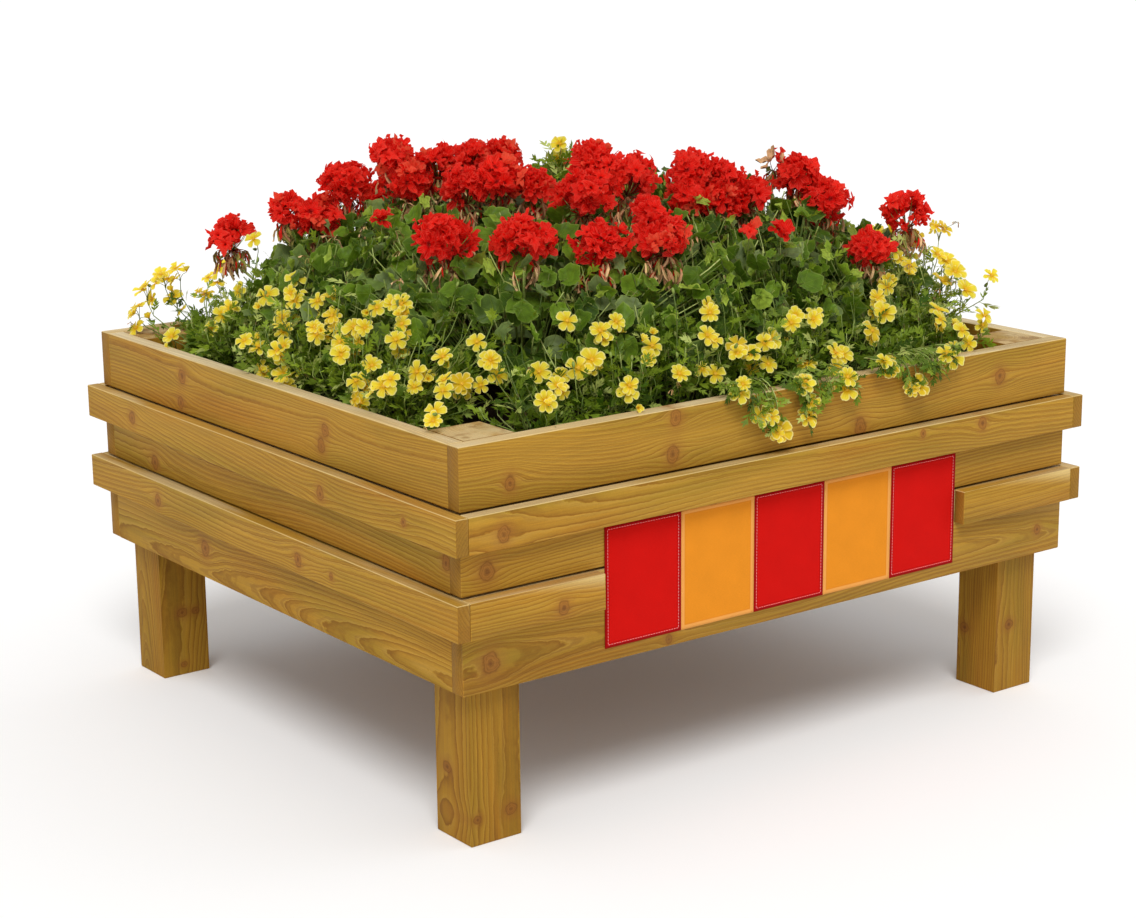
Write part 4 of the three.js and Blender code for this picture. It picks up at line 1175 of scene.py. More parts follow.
def add_old_stalk(plants, x, y, draw):
    """A thin bare stalk, pale with age, that leans over the leaves from inside the plant."""
    key = nearest_plant(x, y)
    top = metres(x, y, foliage_height(x, y) + draw.between(*OLD_STALK_STANDS_OUT))
    root = root_in_plant(key, top, LEAF_ROOT)
    below = top - UP * draw.between(0.04, 0.08) + draw.vector(0.045)
    path = curve([root, root + UP * 0.05, below, top], 6)
    plants[key].tube(path, np.linspace(*OLD_STALK_RADII, 6), 3, draw.between(0.5, 1.0), STEM)
    if draw() < WITHERED_SHARE:
        for _ in range(5):
            axes = axes_along(draw.vector(1.0) - 0.5 * UP, UP)
            plants[key].add(SHRIVELLED, top, axes, draw.between(0.012, 0.024), draw(), WITHERED)


def add_lone_floret(plants, row, draw):
    """A few petals on a stalk of their own, clear of every head."""
    x, y, z, radius_mm = row
    pile = plants[nearest_plant(x, y)]
    place = metres(x, y, z)
    facing = mound_normal(x, y) + np.array([-0.3, -0.4, 0.3])
    for k in range(3):
        axes = axes_facing(facing + draw.vector(0.5))
        pile.add(FLORETS[k], place + draw.vector(0.008), axes, radius_mm * MM, draw(), PETAL)
    add_stalk(pile, place - UP * 0.09 + draw.vector(0.01), place, UP, LONE_STALK_RADIUS, draw, STEM)


WOODY_BRANCHES = 9


def add_woody_stems(pile, core, draw):
    foot = core - UP * 0.05
    pile.tube([foot, core, core + UP * 0.02], [0.009, 0.008, 0.006], 8, 0.2, STEM)
    for k in range(WOODY_BRANCHES):
        angle = TURN * (k + 0.5 * draw()) / WOODY_BRANCHES
        out = np.array([math.cos(angle) * 0.15, math.sin(angle) * 0.12, 0.06 + 0.08 * draw()])
        path = curve([core, core + out * np.array([0.7, 0.7, 0.2]), core + out], 5)
        pile.tube(path, np.linspace(*WOODY_RADII, 5), 6, 0.3, STEM)


def plant_geraniums():
    draw = Draws(71)
    plants = {key: Pile() for key in CORES}
    for bunch, rows in BUNCHES.items():
        petals, stalks = Pile(), Pile()
        for row in rows:
            add_head(petals, stalks, row, draw)
            add_flower_stalk(plants, row, draw)
        node = f"geranium_heads_{bunch}"
        petals.piece(f"geranium_florets_{bunch}", [petal_red, dry_brown], "geranium_petal", [node])
        umbel_materials = [stalk_green, dry_brown, stalk_red]
        stalks.piece(f"geranium_umbels_{bunch}", umbel_materials, "geranium_leaf")

    for layer in LEAF_LAYERS:
        layer_draw = Draws(layer.seed)
        for x, y in spread_places(layer.count, layer.reach, layer.seed):
            add_leaf(plants, x, y, layer, layer_draw)
    old_draw = Draws(88)
    for x, y in spread_places(OLD_STALKS, OLD_STALK_SHARE, 1):
        add_old_stalk(plants, x, y, old_draw)
    for row in LONE_FLORETS:
        add_lone_floret(plants, row, draw)
    for (end, side), pile in plants.items():
        add_woody_stems(pile, CORES[end, side], draw)
        materials = [leaf_material, stalk_green, petal_red, dry_brown]
        node = f"geranium_plant_{end}_{side}"
        pile.piece(f"geranium_leaves_{end}_{side}", materials, "geranium_leaf", [node])


# Bidens

bidens_green = bidens_leaf_material()
petal_yellow = bidens_petal_material()
disc_yellow = disc_material()

BORDER = Plan(588, 520, 4)
ROOT_Z = 572
# The border plants: the seed of their draws, where they start and end in turns round the bed, and the
# middle, half length and direction of their run of roots.
Plant = namedtuple("Plant", "seed start end core half_run along_x")
BIDENS = {
    "left": Plant(101, 0.36, 0.615, (-530, 0), 330, False),
    "front_left": Plant(102, 0.63, 0.745, (-230, -468), 240, True),
    "front_right": Plant(103, 0.755, 0.865, (250, -468), 225, True),
    "right": Plant(104, 0.875, 1.115, (530, 0), 330, False),
    "back": Plant(105, 0.13, 0.345, (0, 468), 420, True),
}
ROOTED_SHARE = 0.85
HIDDEN_BLOOMS = {"right": 21, "back": 18}

# Materials of the foliage and of the blooms, by kind
GREEN, THIN_STEM, SPENT = 0, 1, 2
YELLOW, DISC_YELLOW = 0, 1

BROAD_PETAL = petal((0.07, 0.2, 0.31, 0.36, 0.28), 0.12, 0.4, -0.16, 5, 0.03)
NARROW_PETAL = petal((0.06, 0.15, 0.23, 0.27, 0.2), 0.08, 0.4, -0.12, 5, 0.03)
BLOOMS = [
    rosette(5, BROAD_PETAL, 0.15, shape_draw, 0.18),
    rosette(8, NARROW_PETAL, 0.12, shape_draw, 0.2),
    rosette(6, BROAD_PETAL, 0.35, shape_draw, 0.24),
    rosette(5, BROAD_PETAL, 0.0, shape_draw, 0.2),
    rosette(8, NARROW_PETAL, 0.4, shape_draw, 0.24),
]
HALF_OPEN = rosette(5, NARROW_PETAL, 1.15, shape_draw, 0.15)
DISC = ball(0.15, 0.45, 3, 7)
DISC_FLORET = ball(0.042, 1.3, 3, 4)
DISC_FLORETS = 9
CUT_LEAVES = [cut_leaf(Draws(400 + k)) for k in range(10)]
BLOOM_RADIUS = 0.0202
SUNWARD = unit(np.array([-0.55, -0.75, 0.4]))
SHOOTS_PER_TURN = 960
TALLEST_SHOOT = 52
STEM_STEPS = 6
SHOOT_RADII = (0.0016, 0.0008)
TRAILING_RADII = (0.0015, 0.0008)
BLOOM_STALK_RADIUS, SIDE_STALK_RADIUS = 0.0008, 0.0007

# Blooms of the border as the photograph shows them, by pixel: on the left, the front and the right
BLOOM_PIXELS = [
    (135, 308), (136, 328), (143, 290), (161, 276), (176, 269), (173, 297), (172, 337), (206, 295),
    (217, 283), (211, 328), (219, 269), (231, 308), (239, 291), (254, 239), (259, 347), (260, 369),
    (267, 295), (283, 318), (284, 331), (284, 347), (283, 375), (296, 278), (296, 301), (317, 334),
    (318, 301), (332, 316), (340, 342), (341, 355), (354, 327), (365, 328), (377, 308), (402, 304),
    (402, 324), (396, 340), (356, 381), (361, 403), (372, 366), (384, 386),

    (417, 372), (443, 357), (435, 412), (443, 391), (462, 384), (477, 342), (489, 362), (539, 372),
    (557, 386), (545, 401), (578, 368), (592, 360), (567, 321), (600, 331), (616, 322), (628, 392),
    (652, 346), (679, 374), (710, 313), (707, 335), (737, 345), (770, 340), (768, 364), (715, 374),
    (791, 323), (814, 316), (802, 385), (807, 363), (842, 355), (847, 390), (888, 366), (953, 350),
    (953, 362),

    (872, 331), (877, 298), (884, 313), (887, 287), (894, 250), (910, 266), (916, 237), (938, 310),
    (940, 319), (943, 229), (946, 261), (955, 272), (962, 330), (965, 290), (984, 316), (991, 276),
]
BLOOM_LIFT = 16
# The line of sight's first step from the camera, the length of its steps and how many there are
SIGHT_START, SIGHT_STEP, SIGHT_STEPS = 3.0, 0.005, 500
# How many neighbours a bloom has at most, and how much lighter the leaves are painted, where it differs
# from elsewhere: painted light, most of it on the right side.
CLUSTER = {"left": 3.6, "right": 3.6}
USUAL_CLUSTER = 2.4
PAINTED_LEAF_LIGHT = {"left": 0.1, "right": 0.8, "back": 0.3}


def place_seen(u, v):
    """The place on the border's foliage, in millimetres, that the photograph shows at a pixel. Where
    the line of sight passes above the foliage, it is the place nearest to it."""
    way = ray_through(u, v)
    best, least = None, math.inf
    for step in range(SIGHT_STEPS):
        point = (CAMERA_AT + way * (SIGHT_START + SIGHT_STEP * step)) / MM
        if abs(point[0]) > BORDER.half_x or abs(point[1]) > BORDER.half_y:
            continue
        clearance = point[2] - mound_height(point[0], point[1]) - BLOOM_LIFT
        if clearance <= 0:
            return point
        if clearance < least:
            best, least = point, clearance
    return best


def bidens_plant_at(x, y):
    """The name of the border plant that a place in plan belongs to."""
    turns = math.atan2(y / BORDER.half_y, x / BORDER.half_x) / TURN % 1.0

    def away(name):
        plant = BIDENS[name]
        middle = (plant.start + plant.end) / 2
        return abs((turns - middle + 0.5) % 1.0 - 0.5) - (plant.end - plant.start) / 2

    return min(BIDENS, key=away)


def root_near(name, x, y):
    """The point of a plant's run of roots that is nearest to a place, in metres."""
    plant = BIDENS[name]
    cx, cy = plant.core
    most = ROOTED_SHARE * plant.half_run
    if plant.along_x:
        return metres(cx + max(-most, min(most, x - cx)), cy, ROOT_Z)
    return metres(cx, cy + max(-most, min(most, y - cy)), ROOT_Z)


def add_bloom(blooms, place, facing, draw, size=1.0):
    axes = axes_facing(facing + draw.vector(0.3), TURN * draw())
    radius = BLOOM_RADIUS * size * draw.between(0.85, 1.1)
    blooms.add(draw.pick(BLOOMS), place, axes, radius, draw(), YELLOW)
    blooms.add(DISC, place + axes[:, 2] * radius * 0.05, axes, radius, draw(), DISC_YELLOW)
    for k in range(DISC_FLORETS):
        out = 0.16 * math.sqrt((k + 0.5) / DISC_FLORETS)
        spot = out * level(k * GOLDEN_ANGLE) + (0.13 - 1.2 * out * out) * UP
        blooms.add(DISC_FLORET, place + axes @ spot * radius, axes, radius, draw(), DISC_YELLOW)


def add_shoot(foliage, root, tip, outward, draw, leaves=8, leaf_size=0.042, leafless=0.0, pale=0.0):
    """A thin stem from the root to the tip, with cut leaves along it up to a bare end. Pale is how much
    lighter they are painted than elsewhere: partly paler young growth, partly painted light where a side
    stands in more light. Returns the way it ends."""
    height = max(0.03, tip[2] - root[2])
    lean = root + UP * height * 0.45 + draw.vector(0.012)
    bow = tip - UP * height * 0.3 + unit(outward) * 0.012 + draw.vector(0.012)
    path = curve([root, lean, bow, tip], STEM_STEPS)
    foliage.tube(path, np.linspace(*SHOOT_RADII, STEM_STEPS), 3, draw(), THIN_STEM)
    last = STEM_STEPS - 1
    spin = TURN * draw()
    for k in range(leaves):
        share = 0.28 + (0.72 - leafless) * (k + draw()) / leaves
        low = min(int(share * last), last - 1)
        ahead = path[low + 1] - path[low]
        place = path[low] + ahead * (share * last - low)
        side = axes_facing(ahead, spin + k * (math.pi / 2 + 0.4))[:, 0]
        way = side + 0.8 * unit(ahead) + draw.vector(0.5)
        size = leaf_size * draw.between(0.5, 1.15) * (1.1 - 0.35 * share)
        axes = axes_along(way, UP + draw.vector(1.1))
        variety = min(1.0, draw() * (0.55 + 0.5 * share) + pale)
        sheen_and_pallor = min(1.0, draw() + 0.5 * pale)
        foliage.add(draw.pick(CUT_LEAVES), place, axes, size, variety, GREEN, sheen_and_pallor)
    return unit(path[-1] - path[-2])


def add_spray(foliage, blooms, name, point, draw):
    """A flowering spray with its bloom at a place in millimetres, and buds and older blooms beside it."""
    x, y, _ = point
    place = metres(*point)
    outward = outwards(x, y)
    facing = 0.45 * outward + 0.45 * UP + 0.5 * SUNWARD
    root = root_near(name, x, y)
    neck = place - unit(facing) * 0.012 - UP * 0.014
    add_shoot(foliage[name], root, neck, outward, draw, leafless=0.15, pale=PAINTED_LEAF_LIGHT.get(name, 0.0))
    add_stalk(foliage[name], neck, place, UP, BLOOM_STALK_RADIUS, draw, THIN_STEM)
    add_bloom(blooms[name], place, facing, draw)
    for _ in range(1 + int(CLUSTER.get(name, USUAL_CLUSTER) * draw())):
        end = neck + draw.vector(0.02) + unit(facing) * 0.006 + UP * 0.012
        add_stalk(foliage[name], neck, end, UP, SIDE_STALK_RADIUS, draw, THIN_STEM)
        kind = draw()
        if kind < 0.5:
            add_bloom(blooms[name], end, facing + draw.vector(0.6), draw, 0.85)
        elif kind < 0.65:
            axes = axes_facing(facing + draw.vector(0.6), TURN * draw())
            blooms[name].add(HALF_OPEN, end, axes, BLOOM_RADIUS * 0.7, draw(), YELLOW)
        elif kind < 0.85:
            foliage[name].add(BUD, end, axes_facing(facing + draw.vector(0.5)), 1.1, 0.45, THIN_STEM)
        else:
            for _ in range(5):
                axes = axes_along(draw.vector(1.0) - 0.4 * UP, UP)
                foliage[name].add(SHRIVELLED, end, axes, 0.009, draw(), SPENT)


# Shoots that hang over the front rim: the place along X, the height of the end, and whether it blooms
TRAILING = [
    (-119, 628, True), (-76, 586, True), (-38, 556, True), (10, 622, True), (22, 570, True),
    (58, 592, False), (102, 602, True), (192, 622, True), (258, 586, True), (300, 606, False),
    (335, 622, True),
]
TRAILING_FACING = np.array([-0.35, -1.0, 0.5])
STRANDS = 4


def plant_trailing(foliage, blooms, draw):
    for x, z, has_bloom in TRAILING:
        for strand in range(STRANDS):
            across = x + draw.between(-20, 20) * (strand > 0)
            tip_z = z + draw.between(-4, 26) * (strand > 0)
            bends = [(-470, 590), (-500, 655), (-548, 640), (-578, 622), (-566, tip_z + 14)]
            bends.append((-566 - 3 * strand, tip_z))
            path = curve([metres(across, y, height) for y, height in bends], 12)
            foliage.tube(path, np.linspace(*TRAILING_RADII, 12), 3, draw(), THIN_STEM)
            for k in range(8):
                way = np.array([draw.between(-1, 1), -0.3, draw.between(-0.8, 0.4)])
                axes = axes_along(way, np.array([0.0, -0.6, 1.0]) + draw.vector(0.5))
                size = draw.between(0.018, 0.032)
                foliage.add(CUT_LEAVES[k % len(CUT_LEAVES)], path[4 + k], axes, size, draw(), GREEN, draw())
            if has_bloom and strand < 2:
                place = path[-1] + np.array([0, -0.005, 0])
                add_bloom(blooms, place, TRAILING_FACING, draw, 1.05 - 0.2 * strand)


# A sprig that has come up among the geraniums at the crest: its bloom and its fork, in millimetres.
SPRIG_BLOOM = (-6, 32, 934)
SPRIG_FORK = (6, 44, 850)
SPRIG_SHOOTS = 20


def plant_sprig(foliage, blooms, draw):
    fork = metres(*SPRIG_FORK)
    root = np.array([fork[0], fork[1], ROOT_Z * MM])
    foliage.tube([root, (root + fork) / 2, fork], 0.002, 4, draw(), THIN_STEM)
    bloom = metres(*SPRIG_BLOOM)
    for k in range(3):
        place = bloom + draw.vector(0.016) * (k > 0)
        add_shoot(foliage, fork, place, SUNWARD, draw, 7, 0.028, pale=0.6)
        add_bloom(blooms, place, SUNWARD + draw.vector(0.5), draw, 0.8)
    for _ in range(SPRIG_SHOOTS):
        tip = bloom + draw.vector(0.026) - UP * draw.between(0.012, 0.045)
        add_shoot(foliage, fork, tip, draw.vector(1.0), draw, pale=0.5)


# Shoots of the border plants that have grown in among the geraniums, and how far out they stand
STRAY_SHOOTS = 180
STRAY_SHARE = (0.2, 0.72)


def plant_strays(foliage, draw):
    for k in range(STRAY_SHOOTS):
        x, y = place_in_plan(k * GOLDEN_ANGLE, draw.between(*STRAY_SHARE), BORDER)
        tip = metres(x, y, foliage_height(x, y) + draw.between(-6, 24))
        name = bidens_plant_at(x, y)
        add_shoot(foliage[name], root_near(name, x, y), tip, outwards(x, y), draw, pale=0.35)


def plant_hidden_blooms(foliage, blooms, draw):
    """Blooms of the sides that the photograph doesn't show, by the rule that the solids follow."""
    for name, count in HIDDEN_BLOOMS.items():
        plant = BIDENS[name]
        rule = Draws(plant.seed)
        for k in range(count):
            along = (k + 0.5 + 0.6 * (rule() - 0.5)) / count
            share = 0.8 + 0.2 * rule()
            lift = -8 + 48 * rule()
            for _ in range(4):
                rule()
            x, y = place_in_plan(TURN * (plant.start + (plant.end - plant.start) * along), share, BORDER)
            add_spray(foliage, blooms, name, (x, y, mound_height(x, y) + lift), draw)


# Where shoots stand thickest, as turns round the bed: the corner at the back of the left side
THICK_CORNER = (0.352, 0.43)
THICK_SHOOTS = 90
# How far a plant's shoots reach past its start and end, in turns
OVERLAP = 0.008


def plant_shoots(foliage):
    """The border plants' leafy shoots, some of them with a bud."""
    for name, plant in BIDENS.items():
        rule = Draws(plant.seed + 50)
        span = plant.end - plant.start
        count = round(SHOOTS_PER_TURN * span)
        starts = [plant.start - OVERLAP + (span + 2 * OVERLAP) * (k + rule()) / count for k in range(count)]
        if name == "left":
            starts += [rule.between(*THICK_CORNER) for _ in range(THICK_SHOOTS)]
        for turns in starts:
            share = 0.7 + 0.31 * math.sqrt(rule())
            x, y = place_in_plan(TURN * turns, share, BORDER)
            z = foliage_height(x, y) + rule.between(-46, 16) + TALLEST_SHOOT * rule() ** 6
            root = root_near(name, x, y)
            tip = metres(x, y, z)
            pale = PAINTED_LEAF_LIGHT.get(name, 0.0)
            end = add_shoot(foliage[name], root, tip, outwards(x, y), rule, leaf_size=0.038, pale=pale)
            if rule() < 0.3:
                foliage[name].add(BUD, tip, axes_facing(end), 1.0, 0.6, THIN_STEM)


def plant_bidens():
    draw = Draws(83)
    foliage = {name: Pile() for name in BIDENS}
    blooms = {name: Pile() for name in BIDENS}
    for u, v in BLOOM_PIXELS:
        point = place_seen(u, v)
        add_spray(foliage, blooms, bidens_plant_at(point[0], point[1]), point, draw)
    plant_sprig(foliage["back"], blooms["back"], draw)
    plant_strays(foliage, Draws(61))
    plant_hidden_blooms(foliage, blooms, draw)
    plant_shoots(foliage)
    plant_trailing(foliage["front_right"], blooms["front_right"], draw)
    for name in BIDENS:
        leaf_materials = [bidens_green, stalk_green, dry_brown]
        foliage[name].piece(f"bidens_foliage_{name}", leaf_materials, "bidens_leaf", [f"bidens_{name}"])
        blooms[name].piece(f"bidens_blooms_{name}", [petal_yellow, disc_yellow], "bidens_petal")


# Banner

PATCH_COUNT = 5
CLOTH_GRID = 0.004
CLOTH_THICKNESS = 0.0009
CLOTH_WAVE = 0.00022
HEM_WIDTH = 0.0075
HEM_RISE = 0.0005
SEAM_WIDTH = 0.0014
THREAD_PITCH = 0.0022
STITCH_INSET = 0.0052
STITCH_PITCH = 0.005
STITCH_LENGTH = 0.0042
STITCH_WIDTH = 0.001
PATCH_CUT = (0.1457, 0.189)


def cloth_material(name, cloth, band, band_width, seam):
    """Woven cloth. A band of another colour runs round its edge, with a thin seam inside it."""
    graph = Marked(name)
    x, z = graph.x, graph.y
    edge = x.less(PATCH_CUT[0] - x).less(z.less(PATCH_CUT[1] - z))
    weave = (x * (TURN / THREAD_PITCH)).sine() * (z * (TURN / THREAD_PITCH)).sine()
    slub = graph.noise(graph.combine(x * 0.15, z), 1400.0)
    faded = graph.noise(graph.combine(x, z), 22.0)
    colour = edge.smooth(band_width + 0.0006, band_width - 0.0006).mix(cloth, band)
    crease = edge.smooth(HEM_WIDTH - SEAM_WIDTH, HEM_WIDTH) * edge.smooth(HEM_WIDTH + SEAM_WIDTH, HEM_WIDTH)
    colour = (crease * 0.35).mix(colour, seam)
    colour = graph.scaled(colour, weave * 0.13 + slub * 0.2 + faded * 0.16 + 0.82)
    bump = graph.bump(weave * 0.6 + slub, 0.00022, 0.8)
    return graph.surface(colour, 0.9, bump, Specular_IOR_Level=0.06, Sheen_Weight=0.02)


def thread_material():
    graph = Graph("thread")
    twist = graph.mottle(900.0, 1.0)
    colour = twist.mix(paint(206, 120, 122), paint(238, 182, 180))
    return graph.surface(colour, 0.8, graph.bump(twist, 0.0002, 0.5), Specular_IOR_Level=0.15)


def closed_sheet(front, back, flat):
    """A thin closed sheet between two grids of points. Front faces against its winding."""
    rows, columns = front.shape[:2]
    count = rows * columns
    triangles = grid_triangles(rows, columns)
    made = shifted(triangles, 0, True) + shifted(triangles, count)
    rim = [i * columns for i in range(rows)]
    rim += [(rows - 1) * columns + j for j in range(1, columns)]
    rim += [i * columns + columns - 1 for i in range(rows - 2, -1, -1)]
    rim += list(range(columns - 2, 0, -1))
    for a, b in zip(rim, rim[1:] + rim[:1]):
        made += square_triangles(a, b, b + count, a + count)
    points = np.concatenate([front.reshape(-1, 3), back.reshape(-1, 3)])
    return Shape(points, made, np.concatenate([flat, flat]), np.zeros(len(points)))


def add_stitches(pile, low, high, surface, draw):
    """Stitches round a patch, a little in from its edge."""
    thread = ball(0.5, 1.0, 3, 6)
    x0, z0 = low[0] + STITCH_INSET, low[2] + STITCH_INSET
    x1, z1 = high[0] - STITCH_INSET, high[2] - STITCH_INSET
    corners = [(x0, z0), (x1, z0), (x1, z1), (x0, z1)]
    for (xa, za), (xb, zb) in zip(corners, corners[1:] + corners[:1]):
        length = math.hypot(xb - xa, zb - za)
        along = np.array([xb - xa, 0.0, zb - za]) / length
        across = np.cross(along, np.array([0.0, 1.0, 0.0]))
        count = round(length / STITCH_PITCH)
        for k in range(count):
            share = (k + 0.5) / count
            x, z = xa + (xb - xa) * share, za + (zb - za) * share
            place = np.array([x, surface(x, z) - 0.0001, z])
            lean = along + across * draw.between(-0.12, 0.12)
            axes = np.column_stack([
                lean * STITCH_LENGTH,
                np.array([0.0, STITCH_WIDTH * 0.7, 0.0]),
                across * STITCH_WIDTH,
            ])
            pile.add(thread, place, axes, variety=draw())


def make_banner():
    red = cloth_material("red_cloth", paint(200, 14, 8), paint(154, 9, 10), 0.0042, paint(118, 8, 10))
    orange = cloth_material(
        "orange_cloth", paint(224, 138, 33), paint(230, 158, 78), 0.0066, paint(200, 116, 40)
    )
    thread = thread_material()
    draw = Draws(9)
    for i in range(1, PATCH_COUNT + 1):
        node = f"banner_patch_{i}"
        low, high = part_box(node)
        seed = 2.3 * i

        def surface(x, z):
            edge = min(x - low[0], high[0] - x, z - low[2], high[2] - z)
            hem = min(1.0, max(0.0, (HEM_WIDTH - edge) / 0.001 + 0.5))
            wave = math.sin(34 * x + seed) * math.sin(41 * z + 1.7 * seed) * min(1.0, edge / 0.03)
            sunk = CLOTH_WAVE * (1 + wave) * min(1.0, edge / 0.02)
            return high[1] - CLOTH_THICKNESS - HEM_RISE * hem - sunk

        across = np.linspace(low[0], high[0], round((high[0] - low[0]) / CLOTH_GRID) + 1)
        up = np.linspace(low[2], high[2], round((high[2] - low[2]) / CLOTH_GRID) + 1)
        front = np.array([[(x, surface(x, z), z) for x in across] for z in up])
        back = front.copy()
        back[:, :, 1] = high[1]
        flat = np.array([(x - low[0], z - low[2]) for z in up for x in across])
        cloth = Pile()
        cloth.add(closed_sheet(front, back, flat))
        is_red = i % 2 == 1
        slot = "red_fabric" if is_red else "orange_fabric"
        patch = cloth.piece(f"banner_cloth_{i}", [red if is_red else orange], slot, [node])
        on_it = []
        if is_red:
            stitches = Pile()
            add_stitches(stitches, low, high, surface, draw)
            on_it = [stitches.piece(f"banner_stitches_{i}", [thread], slot)]


# Liner and soil

PLAN_GAP = 0.0003
LINER_THICKNESS = 0.0015
LINER_STEP, LINER_FLOOR_STEP = 0.02, 0.12
# The liner's top edge: the depth of the strip that ripples, how far it leans in, and how far it sinks
LINER_TOP, LINER_LEAN, LINER_SAG = 0.006, 0.0012, 0.0016
SOIL_STEP = 0.02
SOIL_ROUGH = 0.0055
CRUMBS = 600


def soil_material():
    graph = Marked("potting_soil")
    grain = graph.mottle(320.0, 4.0)
    colour = graph.mottle(30.0, 3.0).mix(paint(34, 24, 18), paint(70, 52, 38))
    colour = grain.smooth(0.62, 0.72).mix(colour, paint(112, 86, 60))
    colour = (graph.variety.smooth(0.6, 1.0) * 0.6).mix(colour, paint(94, 70, 50))
    return graph.surface(colour, 0.95, graph.bump(grain, 0.002, 0.9), Specular_IOR_Level=0.15)


def membrane_material():
    graph = Graph("liner_membrane")
    fibres = graph.noise(graph.place() * (1.0, 1.0, 5.0), 240.0, 3.0)
    colour = fibres.mix(paint(22, 23, 24), paint(58, 59, 60))
    return graph.surface(colour, 0.75, graph.bump(fibres, 0.0006, 0.7), Specular_IOR_Level=0.25)


def inner_plan(inset):
    """Half sizes of the box's inside in plan and the places of the notches round its posts."""
    post_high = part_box("post_front_left")[1]
    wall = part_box("board_left_top")[1][0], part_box("board_front_top")[1][1]
    half = -wall[0] - inset, -wall[1] - inset
    notch = -post_high[0] - inset, -post_high[1] - inset
    return half, notch


def plan_steps(half, notch, step):
    """Places across the plan, with one at each notch."""
    edge = np.linspace(notch, half, max(2, round((half - notch) / step) + 1))
    inside = np.linspace(-notch, notch, round(2 * notch / step) + 1)
    return np.concatenate([-edge[::-1][:-1], inside[:-1], edge])


def slab(half, notch, bottom, height_at, step):
    """A closed slab on the notched plan, with a flat bottom."""
    xs = plan_steps(half[0], notch[0], step)
    ys = plan_steps(half[1], notch[1], step)
    used, points, triangles, flat = {}, [], [], []

    def corner(i, j, top):
        key = (i, j, top)
        if key not in used:
            used[key] = len(points)
            points.append((xs[i], ys[j], height_at(xs[i], ys[j]) if top else bottom))
            flat.append((xs[i], ys[j]))
        return used[key]

    def kept(i, j):
        if not (0 <= i < len(xs) - 1 and 0 <= j < len(ys) - 1):
            return False
        x, y = abs(xs[i] + xs[i + 1]) / 2, abs(ys[j] + ys[j + 1]) / 2
        return x < notch[0] or y < notch[1]

    for i in range(len(xs) - 1):
        for j in range(len(ys) - 1):
            if not kept(i, j):
                continue
            cell = [(i, j), (i + 1, j), (i + 1, j + 1), (i, j + 1)]
            triangles += square_triangles(*(corner(*place, True) for place in cell))
            triangles += shifted(square_triangles(*(corner(*place, False) for place in cell)), 0, True)
            next_cells = [(i, j - 1), (i + 1, j), (i, j + 1), (i - 1, j)]
            for start, end, next_cell in zip(cell, cell[1:] + cell[:1], next_cells):
                if not kept(*next_cell):
                    a, b = corner(*start, False), corner(*end, False)
                    triangles += square_triangles(a, b, corner(*end, True), corner(*start, True))
    return Shape(points, triangles, flat, np.zeros(len(points)))


def wall_run(half, notch, step):
    """Points along the notched plan, anticlockwise, with the direction that points inwards."""
    (x, y), (nx, ny) = half, notch
    corners = [(-x, -ny), (-nx, -ny), (-nx, -y), (nx, -y), (nx, -ny), (x, -ny)]
    corners += [(-cx, -cy) for cx, cy in corners]
    run = []
    for (xa, ya), (xb, yb) in zip(corners, corners[1:] + corners[:1]):
        length = math.hypot(xb - xa, yb - ya)
        count = max(2, round(length / step))
        inwards = np.array([-(yb - ya), xb - xa, 0.0]) / length
        for k in range(count):
            share = k / count
            run.append((np.array([xa + (xb - xa) * share, ya + (yb - ya) * share, 0.0]), inwards, k == 0))
    return run


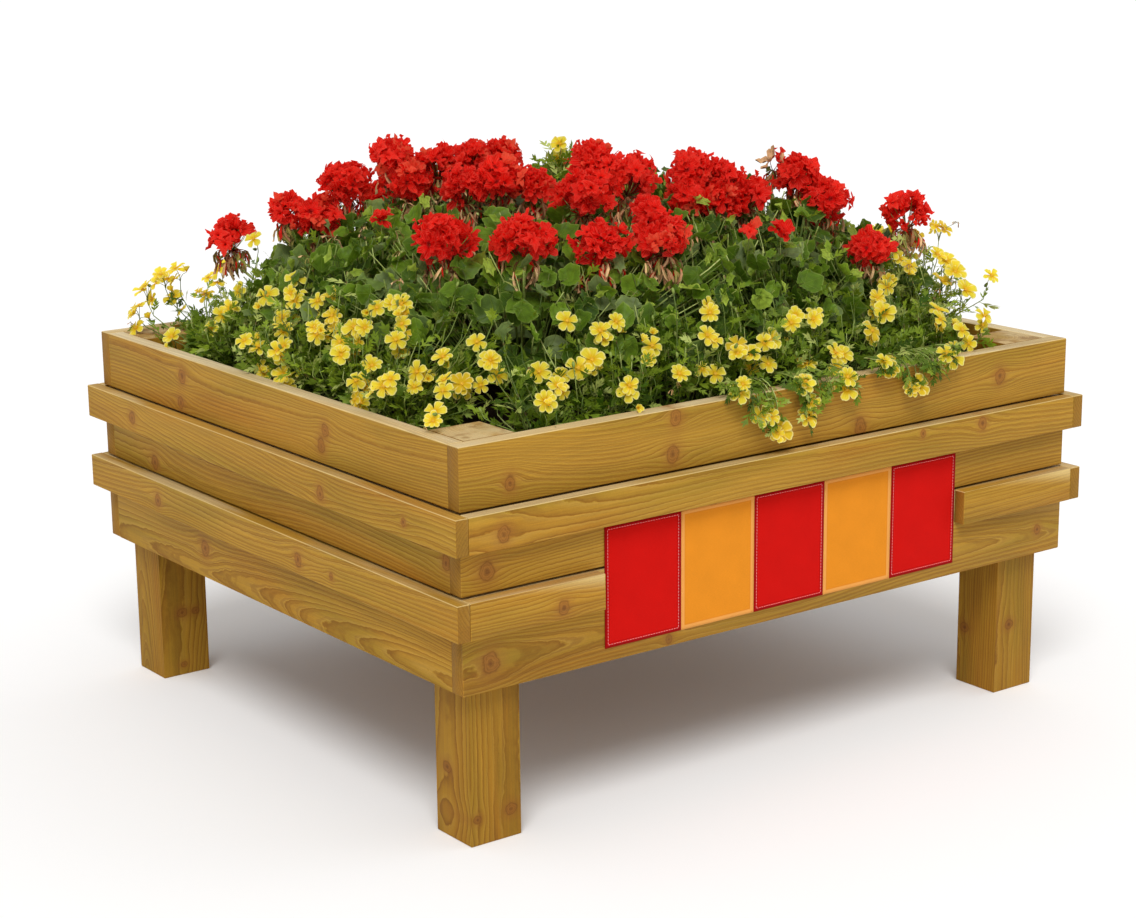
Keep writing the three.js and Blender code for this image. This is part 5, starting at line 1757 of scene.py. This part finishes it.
def make_liner():
    low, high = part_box("liner")
    outer_plan = inner_plan(PLAN_GAP)
    plan = inner_plan(PLAN_GAP + LINER_THICKNESS)
    liner = Pile()
    liner.add(slab(*plan, low[2], lambda x, y: low[2] + LINER_THICKNESS, LINER_FLOOR_STEP))
    heights = [*np.linspace(low[2], high[2] - LINER_TOP, 5), high[2]]
    runs = [wall_run(*outer_plan, LINER_STEP), wall_run(*plan, LINER_STEP)]
    points = []
    for run in runs:
        for height in heights:
            at_top = height == heights[-1]
            for k, (place, inwards, is_corner) in enumerate(run):
                leans = at_top and not is_corner
                lean = LINER_LEAN * (1 + math.sin(1.3 * k + math.sin(0.37 * k))) if leans else 0.0
                rise = LINER_SAG * math.sin(0.9 * k) - LINER_SAG if at_top else 0.0
                points.append(place + inwards * lean + UP * (height + rise))
    columns, rows = len(runs[0]), len(heights)
    count = columns * rows
    faces = grid_triangles(rows, columns, True)
    triangles = shifted(faces, 0, True) + shifted(faces, count)
    along = [(j, (j + 1) % columns) for j in range(columns)]
    for a, b in along:
        triangles += square_triangles(a, a + count, b + count, b)
    top = count - columns
    for a, b in along:
        triangles += square_triangles(top + a, top + b, top + b + count, top + a + count)
    liner.add(Shape(points, triangles, np.zeros((len(points), 2)), np.zeros(len(points))))
    sheet = liner.piece("liner_sheet", [membrane_material()], "membrane", ["liner"])


def make_soil():
    low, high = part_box("soil")
    half, notch = inner_plan(2 * PLAN_GAP + LINER_THICKNESS)

    def height_at(x, y):
        broad = noise.fractal(Vector((x * 22, y * 22, 3.1)), 0.8, 2.2, 4)
        at_edge = min(1.0, (half[0] - abs(x)) / 0.02, (half[1] - abs(y)) / 0.02)
        return high[2] - 0.001 + SOIL_ROUGH * max(-1.0, min(1.0, 1.6 * broad)) * max(0.0, at_edge)

    soil = Pile()
    soil.add(slab(half, notch, low[2], height_at, SOIL_STEP), variety=0.3)
    draw = Draws(17)
    crumbs = [ball(1.0, squash, 3, 5) for squash in (0.6, 0.8, 1.0)]
    for _ in range(CRUMBS):
        x = draw.between(-1, 1) * (half[0] - 0.012)
        y = draw.between(-1, 1) * (half[1] - 0.012)
        size = 0.0018 + 0.0055 * draw() ** 3
        facing = draw.vector(1.0) + 1.2 * UP
        if abs(x) > notch[0] - 0.01 and abs(y) > notch[1] - 0.01:
            continue
        place = np.array([x, y, height_at(x, y) + 0.3 * size])
        soil.add(draw.pick(crumbs), place, axes_facing(facing), size, draw())
    soil.piece("potting_soil", [soil_material()], "soil", ["soil"])


make_camera()
make_studio()
finish_timber()
make_banner()
make_liner()
make_soil()
plant_geraniums()
plant_bidens()
